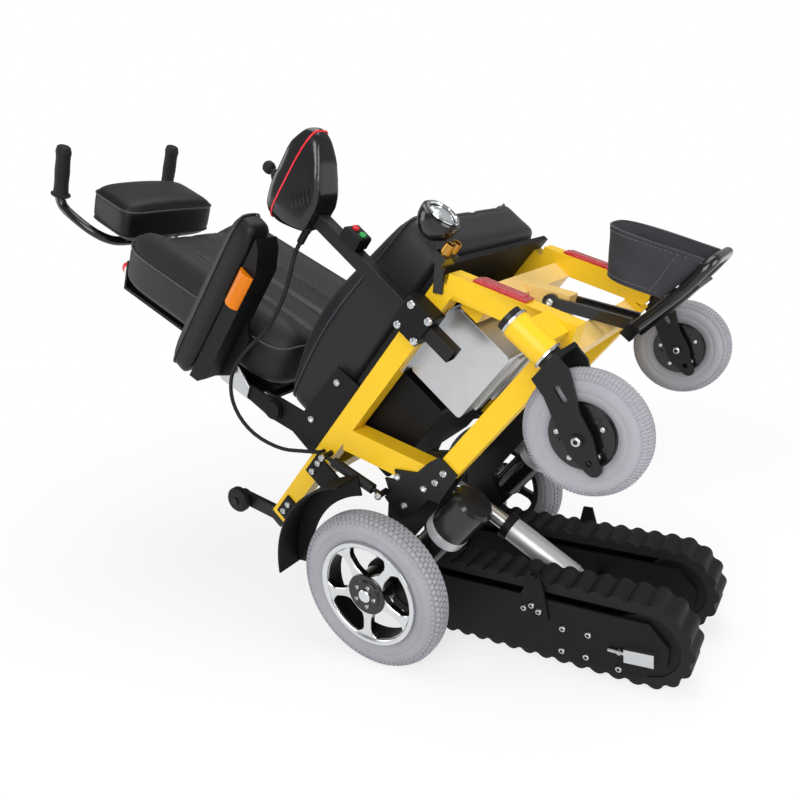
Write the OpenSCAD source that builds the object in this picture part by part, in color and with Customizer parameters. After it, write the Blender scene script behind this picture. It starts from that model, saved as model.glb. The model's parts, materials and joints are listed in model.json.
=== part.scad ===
// Stair climbing wheelchair, standing on its tracks with the chair tipped nose-up.
// Millimetres. +X is forward, +Y is the chair's left, +Z is up. The origin lies on
// the ground under the middle of the outline.

/* [Stance] */
// Nose-up pitch of the chair while it stands on its tracks, degrees
pitch = 46.5; // [40:0.5:50]
// Rear axle ahead of the origin
axle_x = 201.7; // [150:1:260]

/* [Rear wheels] */
// Outer diameter of a rear wheel
wheel_d = 320; // [300:1:340]
// Width of a rear tyre
wheel_w = 57; // [48:1:64]
// Middle of a rear wheel to the middle of the chair
wheel_y = 280; // [278:1:300]
// Height of a rear tyre above the rim flange
tyre_h = 52; // [46:1:58]
// Spokes on a rim
spokes = 5; // [4:1:7]
// Diameter of the axle stub
axle_d = 20; // [16:1:24]

/* [Castors] */
// Outer diameter of a castor wheel
castor_d = 194; // [180:1:196]
// Width of a castor tyre
castor_w = 50; // [40:1:56]
// Middle of a castor to the middle of the chair
castor_y = 285; // [280:1:300]
// Stem ahead of the rear axle, along the chair
stem_u = 610; // [606:1:625]
// Castor axle behind its stem
trail = 44; // [36:1:48]
// Diameter of a castor stem
stem_d = 24; // [20:1:28]
// Thickness of a fork plate
fork_t = 6; // [5:0.5:8]

/* [Frame] */
// Side of the square frame tube
tube = 40; // [36:1:44]
// Outer face of a side frame to the middle of the chair
frame_y = 217; // [212:1:222]
// Top of the seat rail above the rear axle
rail_v = 286; // [280:1:292]
// Rear end of the seat rail behind the rear axle
rail_back = 155; // [140:1:170]
// Front end of the seat rail ahead of the rear axle
rail_front = 540; // [534:1:546]
// Top of the bottom rail above the rear axle
low_v = 78; // [74:1:82]
// Thickness of the black bracket plates
plate_t = 5; // [4:0.5:6]

/* [Seat] */
// Width of the seat cushion
seat_w = 416; // [400:1:420]
// Rear end of the seat cushion ahead of the rear axle
seat_back = 75; // [70:1:90]
// Front end of the seat cushion ahead of the rear axle
seat_front = 580; // [570:1:590]
// Height of the seat cushion at its side bolsters
seat_t = 122; // [110:1:130]
// Thickness of the seat pan
pan_t = 12; // [8:1:14]

/* [Backrest] */
// Recline of the backrest from square to the seat, degrees
recline = 15; // [10:1:20]
// Height of the back cushion
back_h = 538; // [520:1:545]
// Width of the back cushion
back_w = 420; // [400:1:424]
// Depth of the back cushion at its bolsters
back_t = 150; // [120:1:160]
// Diameter of the push handle tube
handle_d = 24; // [20:1:26]
// Width of the headrest
head_w = 280; // [240:1:290]

/* [Armrests] */
// Length of an armrest pad
arm_l = 400; // [380:1:410]
// Width of an armrest pad
arm_w = 64; // [54:1:70]
// Turn of the left armrest, up from level, degrees
left_up = 95; // [90:1:100]

/* [Joystick] */
// Side of the square joystick post
post = 26; // [22:1:28]
// Top of the post above the rear axle
post_top = 520; // [512:1:528]
// Length of the joystick housing
box_l = 185; // [180:1:195]
// Width of the joystick housing
box_w = 66; // [60:1:80]

/* [Tracks] */
// Distance between the two roller axles
track_l = 485; // [470:1:500]
// Outer radius over the lugs at a roller
track_r = 85; // [82:1:88]
// Height of a lug
lug_h = 7; // [6:1:9]
// Thickness of the belt under the lugs
belt_t = 17; // [15:0.5:18]
// Width of a belt
belt_w = 71; // [66:1:72]
// Lugs on one belt
lugs = 42; // [36:1:48]
// Inner edge of a belt to the middle of the chair
belt_y = 67; // [66:1:70]
// Track pivot behind the rear axle
pivot_back = 10; // [6:1:14]
// Diameter of the track pivot shaft
shaft_d = 24; // [20:1:26]

/* [Footrest] */
// Distance between the legs of the footrest loop
loop_w = 130; // [120:1:150]
// Front end of the footrest loop ahead of the rear axle
loop_front = 808; // [790:1:830]
// Diameter of the footrest tube
loop_d = 18; // [16:1:20]

/* [Clearances] */
// Radial running clearance of a pin in its bore
run = 0.05; // [0.02:0.01:0.1]
// Gap between pieces that move past each other
gap = 0.4; // [0.3:0.1:0.6]

/* [Hidden] */
$fn = 48;

yellow = "#E8B41E";
black = "#1B1B1D";
charcoal = "#2C2D31";
silver = "#C9CBCE";
tyre_grey = "#A9ADB8";

wheel_r = wheel_d / 2;
rim_d = wheel_d - 2 * tyre_h;
castor_r = castor_d / 2;
castor_u = stem_u - trail;
castor_v = castor_r - wheel_r;
rail_in = frame_y - tube;
rail_low = rail_v - tube;

// Track pivot in the chair's own directions: back along u, and the drop from the axle.
drop = wheel_r - track_r;
piv_u = -pivot_back * cos(pitch) - drop * sin(pitch);
piv_v = pivot_back * sin(pitch) - drop * cos(pitch);

// The chair's own directions: x along the seat rail, z square to it, from the rear axle.
module chair() translate([axle_x, 0, wheel_r]) rotate([0, -pitch, 0]) children();

// The tracks lie level: x along the track from its pivot, z up from the pivot.
module tracks() translate([axle_x - pivot_back, 0, track_r]) children();

// The backrest's own directions from the recliner hinge: x forward, z up the back.
hinge_u = 57;
hinge_v = 411;
module back() chair() translate([hinge_u, 0, hinge_v]) rotate([0, -recline, 0]) children();

module both() { children(); mirror([0, 1, 0]) children(); }

// A flat outline in x and z, drawn out along y from y0 to y1.
module slab(y0, y1) translate([0, y1, 0]) rotate([90, 0, 0]) linear_extrude(y1 - y0) children();

// A round bar along y.
module ybar(x, z, y0, y1, r) translate([x, y0, z]) rotate([-90, 0, 0]) cylinder(h = y1 - y0, r = r);

// A round bar along x.
module xbar(y, z, x0, x1, r) translate([x0, y, z]) rotate([0, 90, 0]) cylinder(h = x1 - x0, r = r);

// A flat bar from a to b in x and z, w wide, from y0 to y1.
module strut(a, b, w, y0, y1)
    translate([a[0], y0, a[1]]) rotate([0, -atan2(b[1] - a[1], b[0] - a[0]), 0])
        translate([0, 0, -w / 2]) cube([norm(b - a), y1 - y0, w]);

// A round bar between two points in space.
module rod(a, b, r) {
    d = b - a;
    translate(a) rotate([0, acos(d[2] / norm(d)), atan2(d[1], d[0])]) cylinder(h = norm(d), r = r);
}

// A path with its corners cut twice over into curves, and a round tube swept along it.
function cut(p) = concat([p[0]], [for (i = [0 : len(p) - 2]) each [0.75 * p[i] + 0.25 * p[i + 1], 0.25 * p[i] + 0.75 * p[i + 1]]],
    [p[len(p) - 1]]);
function unit(v) = v / norm(v);
function along_path(p, i) = i == 0 ? unit(p[1] - p[0]) : i == len(p) - 1 ? unit(p[i] - p[i - 1])
    : unit(unit(p[i + 1] - p[i]) + unit(p[i] - p[i - 1]));
function path_frames(p, i, n) = let (t = along_path(p, i), m = unit(n - (n * t) * t))
    i == len(p) - 1 ? [[m, cross(t, m)]] : concat([[m, cross(t, m)]], path_frames(p, i + 1, m));
module tube_along(p, r, n0, sides = 12) {
    f = path_frames(p, 0, n0);
    pts = [for (i = [0 : len(p) - 1], k = [0 : sides - 1])
        p[i] + r * (cos(360 * k / sides) * f[i][0] + sin(360 * k / sides) * f[i][1])];
    polyhedron(pts, concat(
        [for (i = [0 : len(p) - 2], k = [0 : sides - 1]) let (a = i * sides + k, b = i * sides + (k + 1) % sides)
            each [[a, a + sides, b], [b, a + sides, b + sides]]],
        [[for (k = [0 : sides - 1]) k]], [[for (k = [sides - 1 : -1 : 0]) (len(p) - 1) * sides + k]]), convexity = 8);
}

// A box with its four long edges along y rounded.
module round_slab(x0, x1, z0, z1, y0, y1, r) slab(y0, y1) {
    translate([x0 + r, z0]) square([x1 - x0 - 2 * r, z1 - z0]);
    translate([x0, z0 + r]) square([x1 - x0, z1 - z0 - 2 * r]);
    for (x = [x0 + r, x1 - r], z = [z0 + r, z1 - r]) translate([x, z]) circle(r);
}

// A padded block: half sizes h, squareness of plan and of section, and a crown
// that the caller adds as a list of ridges [axis value, half width, height].
function sgp(v, e) = sign(v) * pow(abs(v), e);
function bump(t, w, h) = abs(t) >= w ? 0 : h * (1 + cos(180 * t / w)) / 2;
// A ridge may also rise along x: [..., middle in x, half length, extra height].
function lift(x, y, ridges) = [for (q = ridges) bump(y - q[0], q[1], q[2] + (len(q) > 3 ? bump(x - q[3], q[4], q[5]) : 0))]
    * [for (q = ridges) 1];
function pad_point(h, ep, es, a, b, ridges) =
    let (p = [h[0] * sgp(cos(b), es) * sgp(cos(a), ep), h[1] * sgp(cos(b), es) * sgp(sin(a), ep),
              h[2] * sgp(sin(b), es)])
    p[2] > 0 ? p + [0, 0, lift(p[0], p[1], ridges) * p[2] / h[2]] : p;

module padded(h, ep, es, na, nb, ridges) {
    rings = [for (j = [1 : nb - 1], i = [0 : na - 1])
        pad_point(h, ep, es, 360 * (i + 0.5) / na, -90 + 180 * j / nb, ridges)];
    top = len(rings) + 1;
    pts = concat(rings, [[0, 0, -h[2]]], [[0, 0, h[2] + lift(0, 0, ridges)]]);
    quads = [for (j = [0 : nb - 3], i = [0 : na - 1])
        let (a = j * na + i, b = j * na + (i + 1) % na) each [[a, a + na, b], [b, a + na, b + na]]];
    caps = [for (i = [0 : na - 1]) each [[i, (i + 1) % na, top - 1],
        [(nb - 2) * na + (i + 1) % na, (nb - 2) * na + i, top]]];
    polyhedron(pts, concat(quads, caps), convexity = 6);
}

// Frame

post_a = [145, rail_low + 4];
post_b = [236, 66];
front_a = [rail_front + 1, rail_v - tube / 2];
front_b = [627, 52];
head_low = 56;
head_top = 122;
head_r = 23;
beam_u = 531;
beam_v = 214;
foot_u = 566;
foot_v = 150;
// Depth that a cross member runs into the side tube
weld = 3;

module frame() color(yellow) chair() {
    both() {
        difference() {
            union() {
                translate([-rail_back, rail_in, rail_low]) cube([rail_back + rail_front, tube, tube]);
                translate([262, rail_in, low_v - tube]) cube([340, tube, tube]);
                strut(front_a, front_b, tube, rail_in + 0.5, frame_y - 0.5);
                strut(post_a, post_b, 50, rail_in, frame_y);
                translate([stem_u - 22, frame_y - 1, 64]) cube([44, castor_y - frame_y, 46]);
                translate([stem_u, castor_y, head_low]) cylinder(h = head_top - head_low, r = head_r);
            }
            translate([stem_u, castor_y, head_low - 1])
                cylinder(h = head_top - head_low + 2, d = stem_d + 2 * run);
        }
    }
    translate([beam_u - tube / 2, -rail_in - weld, beam_v - tube / 2]) cube([tube, 2 * rail_in + 2 * weld, tube]);
    translate([-20, -rail_in - weld, rail_low + 1]) cube([tube, 2 * rail_in + 2 * weld, tube - 2]);
    translate([556, -rail_in - weld, low_v - tube + 1]) cube([36, 2 * rail_in + 2 * weld, tube - 2]);
    strut([beam_u, beam_v], [foot_u + 12, foot_v - 28], tube, -20, 20);
}

battery_l = 160;
battery_u = beam_u - 31 - battery_l;
// Battery box with a top flange that hangs from the seat rails
module battery_box() color(silver) chair() {
    round_slab(battery_u, battery_u + battery_l, 112, rail_low - 4, -rail_in + 10, rail_in - 10, 8);
    translate([battery_u, -rail_in - 20, rail_low - 4]) cube([battery_l, 2 * rail_in + 40, 4]);
    for (y = [-110, -40, 40, 110]) round_slab(battery_u + 10, battery_u + battery_l - 10, 106, 112.5, y - 12, y + 12, 2.5);
}

// Cross tube, hangers and pivot shaft of the tracks, with the plates that carry the gearboxes
cross_u = 94.3;
cross_v = 89.5;
cross_r = 16;
hang_y = 46;
hang_t = 8;
shaft_end = belt_y + belt_w + 10;
side_in = rail_in - plate_t - 1;
damp_a = [94, 254];
damp_b = [138, 118];
damp_r = 10.5;
damp_y = frame_y + 20;

module rear_carrier() color(black) chair() {
    ybar(cross_u, cross_v, -side_in - 1, side_in + 1, cross_r);
    ybar(piv_u, piv_v, -shaft_end, shaft_end, shaft_d / 2);
    both() {
        slab(side_in, rail_in) polygon([[-34, -30], [32, -38], [72, 22], [216, 27], [290, 37],
            [290, low_v], [250, 112], [90, 112], [-26, 34]]);
        strut([cross_u, cross_v], [piv_u, piv_v], 38, hang_y + 0.7, hang_y + hang_t - 0.7);
        ybar(piv_u, piv_v, hang_y, hang_y + hang_t, 22);
        ybar(cross_u, cross_v, hang_y, hang_y + hang_t, 24);
        slab(frame_y, frame_y + plate_t)
            polygon([[118, 58], [150, 48], [204, 46], [216, 27], [290, 37], [290, low_v + 5], [262, 92], [226, 96], [192, 132], [178, 116],
                [160, 136], [146, 114], [126, 112]]);
        // Damper from the seat rail to the bracket
        ybar(damp_a[0], damp_a[1], frame_y, damp_y + damp_r - 1, 6);
        ybar(damp_b[0], damp_b[1], frame_y + 1, damp_y + damp_r - 1, 6);
        rod([damp_a[0], damp_y, damp_a[1]], [damp_b[0], damp_y, damp_b[1]], 4.5);
        rod([damp_a[0] + 7, damp_y, damp_a[1] - 22], [damp_b[0] - 6, damp_y, damp_b[1] + 18], damp_r);
    }
}

motor_y = 205;
motor_v = -17;
motor_r = 40;
gear_out = wheel_y - wheel_w / 2 - 8;

module drive_gearboxes() color(charcoal) chair() both() {
    ybar(0, 0, rail_in, gear_out, 44);
    round_slab(0, 62, motor_v - 28, motor_v + 36, rail_in, gear_out - 4, 8);
    ybar(0, 0, gear_out - 1, wheel_y + wheel_w / 2 - 6, axle_d / 2);
}

module drive_motors() color(black) chair() both() {
    xbar(motor_y, motor_v, 62, 165, 32);
    xbar(motor_y, motor_v, 165, 186, motor_r + 0.8);
    ybar(175.5, motor_v, motor_y + 30, motor_y + 43, 8);
    translate([186, motor_y, motor_v]) rotate([0, 90, 0]) rotate_extrude()
        polygon([[0, 0], [motor_r, 0], [motor_r, 78], [motor_r - 6, 84], [0, 84]]);
}

guard_r = 222;
guard_t = 4;
guard_in = wheel_y - wheel_w / 2 - 3.5;
guard_out = wheel_y + wheel_w / 2 + 4;

module sector(r0, r1, a0, a1) difference() {
    circle(r1, $fn = 96);
    circle(r0, $fn = 96);
    polygon(concat([[0, 0]], [for (i = [0 : 8]) 2 * r1 * [cos(a1 + (360 - a1 + a0) * i / 8), sin(a1 + (360 - a1 + a0) * i / 8)]]));
}

module mudguards() color(black) chair() both() {
    slab(guard_in, guard_out) sector(guard_r - guard_t, guard_r, 52, 134);
    slab(guard_in, guard_in + guard_t) sector(guard_r - 42, guard_r, 52, 134);
    for (u = [-140, 10]) {
        translate([u, frame_y, 196]) cube([56, plate_t, rail_v - 206]);
        translate([u, frame_y, 196]) cube([56, guard_in - frame_y + 1, 6]);
    }
}

// Rear arms that carry the small support wheels
out_u = -231;
out_v = 371;
out_r = 30;
out_w = 24;
arm_in = 186;
arm_t = 12;

module rear_outriggers() color(black) chair() both() {
    translate([-rail_back - 22, rail_in + 2, rail_low + 2]) cube([22, tube - 4, tube - 4]);
    strut([-rail_back - 16.5, rail_v - 18], [out_u, out_v], 32, arm_in, arm_in + arm_t);
    ybar(out_u, out_v, arm_in - 0.5, arm_in + arm_t - 0.5, 18);
    ybar(out_u, out_v, arm_in, arm_in + arm_t + out_w + 2, 5);
    ybar(out_u, out_v, arm_in + arm_t + out_w + gap, arm_in + arm_t + out_w + 4, 9);
}

module outrigger_wheel(s) color(black) chair()
    translate([out_u, s * (arm_in + arm_t + out_w / 2 + gap / 2), out_v]) rotate([90, 0, 0])
        rotate_extrude() polygon([[5 + run, -out_w / 2], [out_r - 6, -out_w / 2], [out_r, -out_w / 2 + 6],
            [out_r, out_w / 2 - 6], [out_r - 6, out_w / 2], [5 + run, out_w / 2]]);
module outrigger_wheel_right() outrigger_wheel(-1);
module outrigger_wheel_left() outrigger_wheel(1);

// Rear wheels

module on_axle(s) chair() translate([0, s * wheel_y, 0]) rotate([s * -90, 0, 0]) children();

module rear_tyre(s) color(tyre_grey) on_axle(s) rotate_extrude($fn = 96) {
    h = wheel_w / 2;
    r0 = rim_d / 2 + 1;
    polygon([[r0, -h + 8], [r0 + 14, -h + 1], [r0 + 28, -h], [wheel_r - 12, -h + 5], [wheel_r - 3, -h + 13],
        [wheel_r, -8], [wheel_r, 8], [wheel_r - 3, h - 13], [wheel_r - 12, h - 5], [r0 + 28, h],
        [r0 + 14, h - 1], [r0, h - 8]]);
}

hub_r = 38;
spoke_w = 16;
window_at = (hub_r + rim_d / 2 - 14) / 2 + 4;
module rear_rim(s) color(silver) on_axle(s) {
    h = wheel_w / 2;
    rotate_extrude($fn = 96) polygon([[rim_d / 2 - 12, -h + 10], [rim_d / 2 + 1, -h + 8], [rim_d / 2 + 1, h - 8],
        [rim_d / 2, h - 1], [rim_d / 2 - 8, h], [rim_d / 2 - 12, h - 6]]);
    // Spoke disc with a round window between each two spokes, cut off by the rim
    difference() {
        translate([0, 0, h - 18]) cylinder(h = 14, r = rim_d / 2 - 9.5);
        translate([0, 0, h - 20]) cylinder(h = 20, r = hub_r - 6);
        for (i = [0 : spokes - 1]) rotate([0, 0, 360 * (i + 0.5) / spokes]) intersection() {
            translate([window_at, 0, h - 20]) cylinder(h = 20, r = window_at * sin(180 / spokes) - spoke_w / 2);
            translate([0, 0, h - 20]) cylinder(h = 20, r = rim_d / 2 - 14);
        }
    }
    difference() {
        union() {
            translate([0, 0, -h + 10]) cylinder(h = 2 * h - 12, r = hub_r);
            translate([0, 0, h - 3]) cylinder(h = 5, r = hub_r - 8);
            for (i = [0 : spokes - 1]) rotate([0, 0, 360 * (i + 0.5) / spokes]) translate([22, 0, h + 1]) cylinder(h = 3, r = 4);
            translate([0, 0, h + 1]) cylinder(h = 5, r = 13);
        }
        translate([0, 0, -h]) cylinder(h = 2 * h - 4, d = axle_d + 2 * run);
    }
}

module rear_tyre_right() rear_tyre(-1);
module rear_tyre_left() rear_tyre(1);
module rear_rim_right() rear_rim(-1);
module rear_rim_left() rear_rim(1);

// Castors

leg_in = castor_w / 2 + 8;
fork_top = 44;
cap_v = head_top + 4 + gap;

module on_castor(s) chair() translate([castor_u, s * castor_y, castor_v]) rotate([s * -90, 0, 0]) children();

module castor_fork(s) color(black) chair() translate([0, s * castor_y, 0]) {
    difference() {
        for (y = [-leg_in - fork_t, leg_in]) slab(y, y + fork_t) difference() {
            union() {
                polygon([[stem_u - 26, fork_top], [stem_u + 28, fork_top], [stem_u + 24, 12], [castor_u + 34, castor_v + 26],
                    [castor_u + 20, castor_v - 12], [castor_u - 2, castor_v - 44], [castor_u - 26, castor_v - 44],
                    [castor_u - 26, castor_v - 8], [castor_u - 10, castor_v + 30], [stem_u - 32, 14]]);
                translate([castor_u - 14, castor_v - 44]) circle(12);
            }
            translate([stem_u - 8, 8]) circle(5);
            translate([stem_u - 13, -10]) circle(5);
            polygon([[stem_u - 13, 8], [stem_u - 3, 8], [stem_u - 8, -10], [stem_u - 18, -10]]);
            translate([castor_u - 12, castor_v - 34]) circle(5);
        }
    }
    translate([stem_u - 26, -leg_in - fork_t, fork_top - 8]) cube([54, 2 * (leg_in + fork_t), 8]);
    translate([stem_u, 0, fork_top - 1]) cylinder(h = cap_v - fork_top + 2, d = stem_d);
    translate([stem_u, 0, fork_top]) cylinder(h = head_low - 4 - gap - fork_top, r = 20);
    translate([stem_u, 0, cap_v]) cylinder(h = 10, r = 21);
    ybar(castor_u, castor_v, -leg_in - 1, leg_in + 1, 6);
    for (q = [-1, 1]) translate([castor_u, q * (leg_in + fork_t), castor_v]) rotate([q * -90, 0, 0]) cylinder(h = 5, r = 10);
}
module castor_fork_right() castor_fork(-1);
module castor_fork_left() castor_fork(1);

castor_rim = 52;
module castor_tyre(s) color(tyre_grey) on_castor(s) rotate_extrude($fn = 96) {
    h = castor_w / 2;
    polygon([[castor_rim, -h + 8], [castor_rim + 12, -h + 1], [castor_rim + 24, -h], [castor_r - 9, -h + 6],
        [castor_r - 1, -h + 16], [castor_r, 0], [castor_r - 1, h - 16], [castor_r - 9, h - 6],
        [castor_rim + 24, h], [castor_rim + 12, h - 1], [castor_rim, h - 8]]);
}
module castor_hub(s) color(black) on_castor(s) difference() {
    h = castor_w / 2;
    union() {
        translate([0, 0, -h + 8]) cylinder(h = 2 * h - 16, r = castor_rim);
        for (q = [-1, 1]) translate([0, 0, q * (h - 6) - 3]) cylinder(h = 6, r = castor_rim - 3);
        translate([0, 0, -leg_in + gap]) cylinder(h = 2 * leg_in - 2 * gap, r = 12);
        for (q = [-1, 1], i = [0 : 4]) rotate([0, 0, 72 * i]) translate([36, 0, q * (h - 2) - 2]) cylinder(h = 4, r = 4);
    }
    translate([0, 0, -leg_in]) cylinder(h = 2 * leg_in, r = 6 + run);
}
module castor_tyre_right() castor_tyre(-1);
module castor_tyre_left() castor_tyre(1);
module castor_hub_right() castor_hub(-1);
module castor_hub_left() castor_hub(1);

module bearing_rings() color(silver) chair() both() for (v = [head_low - 4, head_top])
    translate([stem_u, castor_y, v]) difference() {
        cylinder(h = 4, r = head_r + 2);
        translate([0, 0, -1]) cylinder(h = 6, d = stem_d + 2 * run);
    }

// Seat

pan_top = rail_v + pan_t;
side_y = seat_w / 2 + 5;
pin_r = 8;

module seat_pan() color(black) chair() {
    translate([seat_back - 15, -side_y, rail_v]) cube([seat_front - seat_back, 2 * side_y, pan_t]);
    // Controller box under the pan, clear of the rear posts
    round_slab(112, battery_u - 18, 142, rail_v + 1, -rail_in + 14, rail_in - 14, 10);
    both() {
        slab(side_y, side_y + plate_t) polygon([[50, rail_v], [262, rail_v], [256, 346], [112, 354], [84, 428],
            [44, 434], [32, 402], [52, 350]]);
        ybar(hinge_u, hinge_v, side_y, side_y + plate_t + plate_t + 4, pin_r);
        ybar(hinge_u, hinge_v, side_y + 2 * plate_t + 2 * gap, side_y + 2 * plate_t + 6, 20);
    }
}

seat_mid = (seat_back + seat_front) / 2;
bolster_h = 44;
module seat_cushion() color(charcoal) chair()
    translate([seat_mid, 0, pan_top + 0.3 + (seat_t - 24) / 2])
        padded([(seat_front - seat_back) / 2, seat_w / 2, (seat_t - 24) / 2], 0.22, 0.32, 56, 18,
            [[-seat_w / 2 + 26, 66, 22, -36, 290, bolster_h], [seat_w / 2 - 26, 66, 22, -36, 290, bolster_h], [0, 16, -5]]);

module post_clamp() color(black) chair() {
    y = -frame_y;
    difference() {
        translate([post_u - 32, y - post - 14, rail_low - 12]) cube([64, post + 14, tube + 22]);
        translate([post_u - post / 2 - gap, post_y - post / 2 - gap, rail_low - 20])
            cube([post + 2 * gap, post + 2 * gap, tube + 40]);
    }
}

lamp_y = -226;
lamp_v = 338;
module headlamp() color(black) chair() {
    translate([592, lamp_y, lamp_v]) rotate([0, 90, 0]) rotate_extrude()
        polygon([[0, 0], [16, 0], [27, 16], [27, 38], [24, 38], [24, 30], [0, 30]]);
    strut([rail_front - 20, rail_v - 18], [600, 320], 18, -frame_y - plate_t, -frame_y);
    translate([566, -244, 282]) cube([20, 44, 24]);
}
module lamp_lens() color("#E9EDF2") chair()
    translate([592 + 30, lamp_y, lamp_v]) rotate([0, 90, 0]) rotate_extrude()
        polygon([[0, 0], [24, 0], [24, 6], [12, 11], [0, 12]]);
module charge_sockets() color("#B98A3C") chair() for (y = [-233, -211])
    difference() {
        xbar(y, 294, 586, 606, 8.5);
        xbar(y, 294, 594, 607, 6);
    }

refl_a = 42;
refl_l = 98;
module front_reflectors() color("#B3202A") chair() both()
    translate([front_a[0], 0, front_a[1]]) rotate([0, -atan2(front_b[1] - front_a[1], front_b[0] - front_a[0]), 0]) {
        translate([refl_a, rail_in + 5, tube / 2]) cube([refl_l, tube - 10, 5]);
        translate([refl_a + 8, rail_in + 8, tube / 2 + 5]) cube([refl_l - 16, tube - 16, 3]);
    }

// Screws on the frame, and the hinge pin of the footrest
module frame_bolts() color(silver) chair() {
    both() {
        for (p = [[244, 58], [272, 58]]) ybar(p[0], p[1], frame_y + plate_t, frame_y + plate_t + 4, 7);
        for (p = [[116, 330], [230, 328]]) ybar(p[0], p[1], side_y + plate_t, side_y + plate_t + 4, 8);
        for (u = [-124, -100]) ybar(u, rail_v - 24, frame_y + plate_t, frame_y + plate_t + 3, 5);
    }
    ybar(foot_u, foot_v, 20, 34, 6);
    ybar(foot_u, foot_v, -34, -20, 6);
    for (q = [-1, 1]) translate([foot_u, q * 31, foot_v]) rotate([q * -90, 0, 0]) cylinder(h = 4, r = 10);
}

// Backrest

shell_n = -17;
shell_t = 8;
shell_y = back_w / 2 - 38;
rod_n = 52;
rod_y = 45;
rod_r = 6;
back_n = 10;
block_w = 22;
block_low = 420;
back_low = 15;
back_top = back_low + back_h;
arm_y = side_y + plate_t + gap;

module back_shell() color(black) back() {
    difference() {
        union() {
            translate([shell_n, -shell_y, 40]) cube([shell_t, 2 * shell_y, back_top - 40]);
            for (y = [-160, 100]) translate([shell_n + shell_t, y, 50]) cube([back_n - shell_n - shell_t - 0.3, 60, back_h - 60]);
            translate([shell_n, -shell_y, back_top + 0.5]) cube([75, 2 * shell_y, 6]);
            for (q = [-1, 1]) translate([shell_n + shell_t - 1, q * rod_y - block_w / 2, block_low]) cube([rod_n + 11 - shell_n - shell_t, block_w, back_top + 22 - block_low]);
            translate([shell_n, -shell_y + 1, back_top - 1]) cube([shell_t, 2 * shell_y - 2, 4]);
        }
        for (q = [-1, 1]) translate([rod_n, q * rod_y, block_low + 8]) cylinder(h = back_h, r = rod_r + run);
    }
    both() {
        difference() {
            slab(arm_y, arm_y + plate_t) union() {
                polygon([[shell_n, 60], [shell_n, 150], [12, 150], [22, 8], [-22, 8]]);
                circle(23);
            }
            ybar(0, 0, arm_y - 1, arm_y + plate_t + 1, pin_r + run);
        }
        translate([shell_n + 1, shell_y - 1, 70]) cube([shell_t - 2, arm_y - shell_y + 2, 70]);
    }
}

module back_cushion() color(charcoal) back() difference() {
    translate([back_n, 0, back_low + back_h / 2]) rotate([0, 90, 0]) translate([0, 0, (back_t - 30) / 2])
        padded([back_h / 2, back_w / 2, (back_t - 30) / 2], 0.24, 0.4, 56, 18,
            [[-back_w / 2 + 56, 70, 30], [back_w / 2 - 56, 70, 30], [0, 14, -5]]);
    for (q = [-1, 1]) translate([-10, q * rod_y - block_w / 2 - 0.4, block_low - 0.4]) cube([rod_n + 21.4, block_w + 0.8, back_h]);
}

grip_y = 163;
bar_n = 26;
bar_w = back_top + 155;
grip_w = back_top + 289;
grip_a = 97;
grip_l = 126;
function handle(q) = [[bar_n, 0, bar_w], [bar_n, q * 72, bar_w - 2], [bar_n + 6, q * 112, bar_w + 6],
    [bar_n + 20, q * 142, bar_w + 34], [bar_n + 36, q * 158, bar_w + 82], [grip_a - 27, q * 161, grip_w - 13],
    [grip_a - 12, q * grip_y, grip_w], [grip_a, q * grip_y, grip_w]];
module push_handle() color(black) back() {
    r = handle_d / 2;
    path = concat([for (i = [7 : -1 : 1]) handle(-1)[i]], [for (i = [1 : 7]) handle(1)[i]]);
    tube_along(cut(cut(path)), r, [0, 0, 1]);
    // Two stays from the back plate to the bar
    for (q = [-1, 1]) slab(q * 40 - 8, q * 40 + 8) polygon([[shell_n - 12, back_top - 103], [shell_n, back_top - 103], [shell_n, back_top + 13],
        [bar_n + 8, bar_w - r - 0.2], [bar_n - 10, bar_w - r - 0.2], [shell_n - 12, back_top + 19]]);
}
module handle_grips() color("#151516") back() for (q = [-1, 1])
    translate([grip_a, q * grip_y, grip_w]) rotate([0, 90, 0]) rotate_extrude()
        polygon(concat([[0, 0], [23, 0], [23, 6]], [for (i = [0 : 6]) each [[18, 10 + 14 * i], [18, 17 + 14 * i], [16.5, 18 + 14 * i], [16.5, 22 + 14 * i]]],
            [[18, grip_l - 12], [14, grip_l], [0, grip_l]]));

beacon_y = -150;
beacon_n = 26;
module beacon_base() color("#E8E6E1") back() translate([beacon_n, beacon_y, back_top + 6.5]) cylinder(h = 12, r = 17);
module beacon_dome() color("#B0161E") back() translate([beacon_n, beacon_y, back_top + 18.5]) rotate_extrude()
    polygon([[0, 0], [15, 0], [15, 8], [12, 15], [6, 19], [0, 20]]);

// Armrest hinge, in the chair's directions
elbow_u = 36;
elbow_v = 600;
brk_y = arm_y + plate_t;
elbow_r = 8;
module armrest_brackets() color(silver) both() {
    back() slab(brk_y, brk_y + plate_t) polygon([[-14, 70], [14, 70], [40, 110], [52, 168], [46, 196], [16, 204], [-14, 146]]);
    chair() ybar(elbow_u, elbow_v - pin_drop, brk_y + plate_t - 1, brk_y + plate_t + 22, elbow_r);
}

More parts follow.
